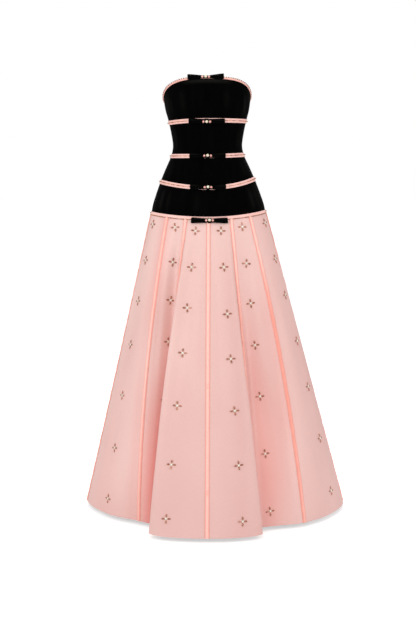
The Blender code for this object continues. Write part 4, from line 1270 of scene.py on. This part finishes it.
# %% Set the jewels
STONE_DROP = 0.0006  # the side stones sit a little lower than the pearl
STONE_BACK = 0.0022  # and further back
for bow in BOWS:
    seat, out = gown_frame(angle_at(np.array(bow.x), np.array(bow.z)), bow.z)
    lift = bow.lift + BOW_THICK * 0.70 + LIE_GAP + PEARL_RADIUS
    copies = [(PEARL_SHAPE, placed(seat + out * lift, out, UP))]
    for side in (-1, 1):
        place = on_front(np.array([bow.x + side * BEAD_PITCH]), np.array([bow.z - STONE_DROP]),
                         [lift - STONE_BACK])[0]
        copies.append((STONE_SHAPE, placed(place, out + (side * 0.25, 0, 0.1), UP, 0.2)))
    dress(lay_copies("jewel_" + bow.name[4:], copies, 26.0), "pearl", "jewel_" + bow.node)
print("jewels set", len(BOWS))

# %% [markdown]
# ## The zip
# The centre back closes with a zip between the two back panels. Its tapes, slider
# and pull keep the frame's own solids, because their shape is already right. The
# teeth are too small for those solids, so they are modelled here, one short bar
# with rounded edges, and laid in two rows that mesh along the slit.

# %% Tapes, slider and pull
TAPE = weave_finish("black_zip_tape", (12, 12, 13), (30, 30, 32), 0.0008)
for name, finish in (("zip_tape_left", TAPE), ("zip_tape_right", TAPE),
                     ("zip_slider", DARK_METAL), ("zip_pull", DARK_METAL)):
    frame["nodes"][name].data.materials.clear()
    frame["nodes"][name].data.materials.append(finish)

# %% Teeth
TOOTH_STEP = 0.0008  # half the pitch of a row, since the two rows mesh
TOOTH_SIDE = 0.0004  # how far a row lies beside the middle
TOOTH_SIZE = (0.0013, 0.0009, 0.0007)
tooth = start_shape(bpy.ops.mesh.primitive_cube_add, [DARK_METAL], size=1.0)
edit(resize, *TOOTH_SIZE)
edit(bpy.ops.mesh.select_all, action="SELECT")
edit(bpy.ops.mesh.bevel, offset=0.00016, segments=1)
TOOTH = read_shape(tooth)
top_z = float(neck_height(180.0)) - TRIM_HEIGHT
low_z = float(seam_height(BANDS[-1], 180.0)) + 0.002
copies = []
for k in range(int((top_z - low_z) / TOOTH_STEP)):
    point, out = bodice_frame(180.0, top_z - k * TOOTH_STEP)
    side = TOOTH_SIDE if k % 2 else -TOOTH_SIDE
    copies.append((TOOTH, placed(point - out * (VELVET_WALL + 0.0001) + (side, 0, 0), out, UP)))
teeth = lay_copies("zip_teeth", copies)
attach(teeth, "gown")
print("teeth", len(copies))

# %% [markdown]
# ## Studio
# The gown stands against white, in even light from the front that is a little
# stronger from the upper left. Large lamps keep every shadow soft. The camera
# stands at the height of the waist and looks slightly down.

# %% Floor and backdrop
FLOOR_Z = HEM_Z - 0.014
AROUND_LIGHT = 0.62  # what the walls of the room give back to the gown
FLOOR_GLOW = 0.54  # lifts the far floor to paper white
bpy.ops.object.select_all(action="DESELECT")
bpy.ops.mesh.primitive_circle_add(vertices=64, radius=30.0, fill_type="NGON",
                                  location=(0, 0, FLOOR_Z))
floor = bpy.context.active_object
floor.name = "studio_floor"
floor_paint = new_finish("pale_floor", roughness=0.8, specular_ior_level=0.2)
set_looks(floor_paint, between(floor_paint, streaks(floor_paint, "Object", (2.0, 2.0, 2.0)),
                               (0.84, 0.84, 0.84, 1), (0.88, 0.88, 0.88, 1)))
floor.data.materials.append(floor_paint)


def seen_strength(owner, socket, unseen, seen):
    """Set a strength that is paper white to the camera and less to everything else."""
    ray = add_node(owner, "ShaderNodeLightPath")["Is Camera Ray"]
    span = add_node(owner, "ShaderNodeMapRange", {"Value": ray, "To Min": unseen, "To Max": seen})
    owner.node_tree.links.new(span["Result"], socket)


studio = bpy.data.worlds.new("white_studio")
studio.use_nodes = True
room = studio.node_tree.nodes["Background"].inputs
room["Color"].default_value = WHITE
seen_strength(studio, room["Strength"], AROUND_LIGHT, 1.0)
bpy.context.scene.world = studio
floor_shader = floor_paint.node_tree.nodes["Principled BSDF"].inputs
floor_shader["Emission Color"].default_value = WHITE
seen_strength(floor_paint, floor_shader["Emission Strength"], 0.0, FLOOR_GLOW)


# %% Lamps and camera
def softbox(name, place, target, width, height, power, tint=(1.0, 1.0, 1.0)):
    lamp = bpy.data.lights.new(name, "AREA")
    lamp.color = tint
    lamp.shape = "RECTANGLE"
    lamp.size, lamp.size_y, lamp.energy = width, height, power
    holder = bpy.data.objects.new(name, lamp)
    holder.location = place
    holder.rotation_euler = (Vector(target) - Vector(place)).to_track_quat("-Z", "Y").to_euler()
    bpy.context.scene.collection.objects.link(holder)


FILL_TINT = (1.0, 0.90, 0.89)
softbox("key_front_left", (-1.7, -4.2, 2.3), (0, 0, -0.2), 2.2, 2.2, 54)
softbox("fill_right", (3.6, -2.6, 0.6), (0, 0, -0.5), 2.0, 2.6, 56, FILL_TINT)
softbox("fill_left", (-3.8, -2.2, 0.4), (0, 0, -0.5), 2.0, 2.6, 42, FILL_TINT)
softbox("top_back", (0.4, 2.6, 2.8), (0, 0, -0.3), 2.5, 1.5, 45)

FOCAL_PIXELS = 1313.8
PICTURE_HEIGHT = 625
CAMERA_AWAY, CAMERA_Z, CAMERA_TILT = 4.30, -0.0387, 6.793
camera_data = bpy.data.cameras.new("studio_camera")
camera = bpy.data.objects.new("studio_camera", camera_data)
camera_data.sensor_width = 36.0
camera_data.lens = FOCAL_PIXELS * camera_data.sensor_width / PICTURE_HEIGHT
camera.location = (0.0, -CAMERA_AWAY, CAMERA_Z)
camera.rotation_euler = (math.radians(90 - CAMERA_TILT), 0.0, 0.0)
bpy.context.scene.collection.objects.link(camera)
bpy.context.scene.camera = camera
bpy.context.scene.view_settings.view_transform = "Standard"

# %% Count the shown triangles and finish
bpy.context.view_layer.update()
triangles = sum(len(p.vertices) - 2 for o in bpy.data.objects
                if o.type == "MESH" and not o.hide_render for p in o.data.polygons)
print("triangles shown", triangles)
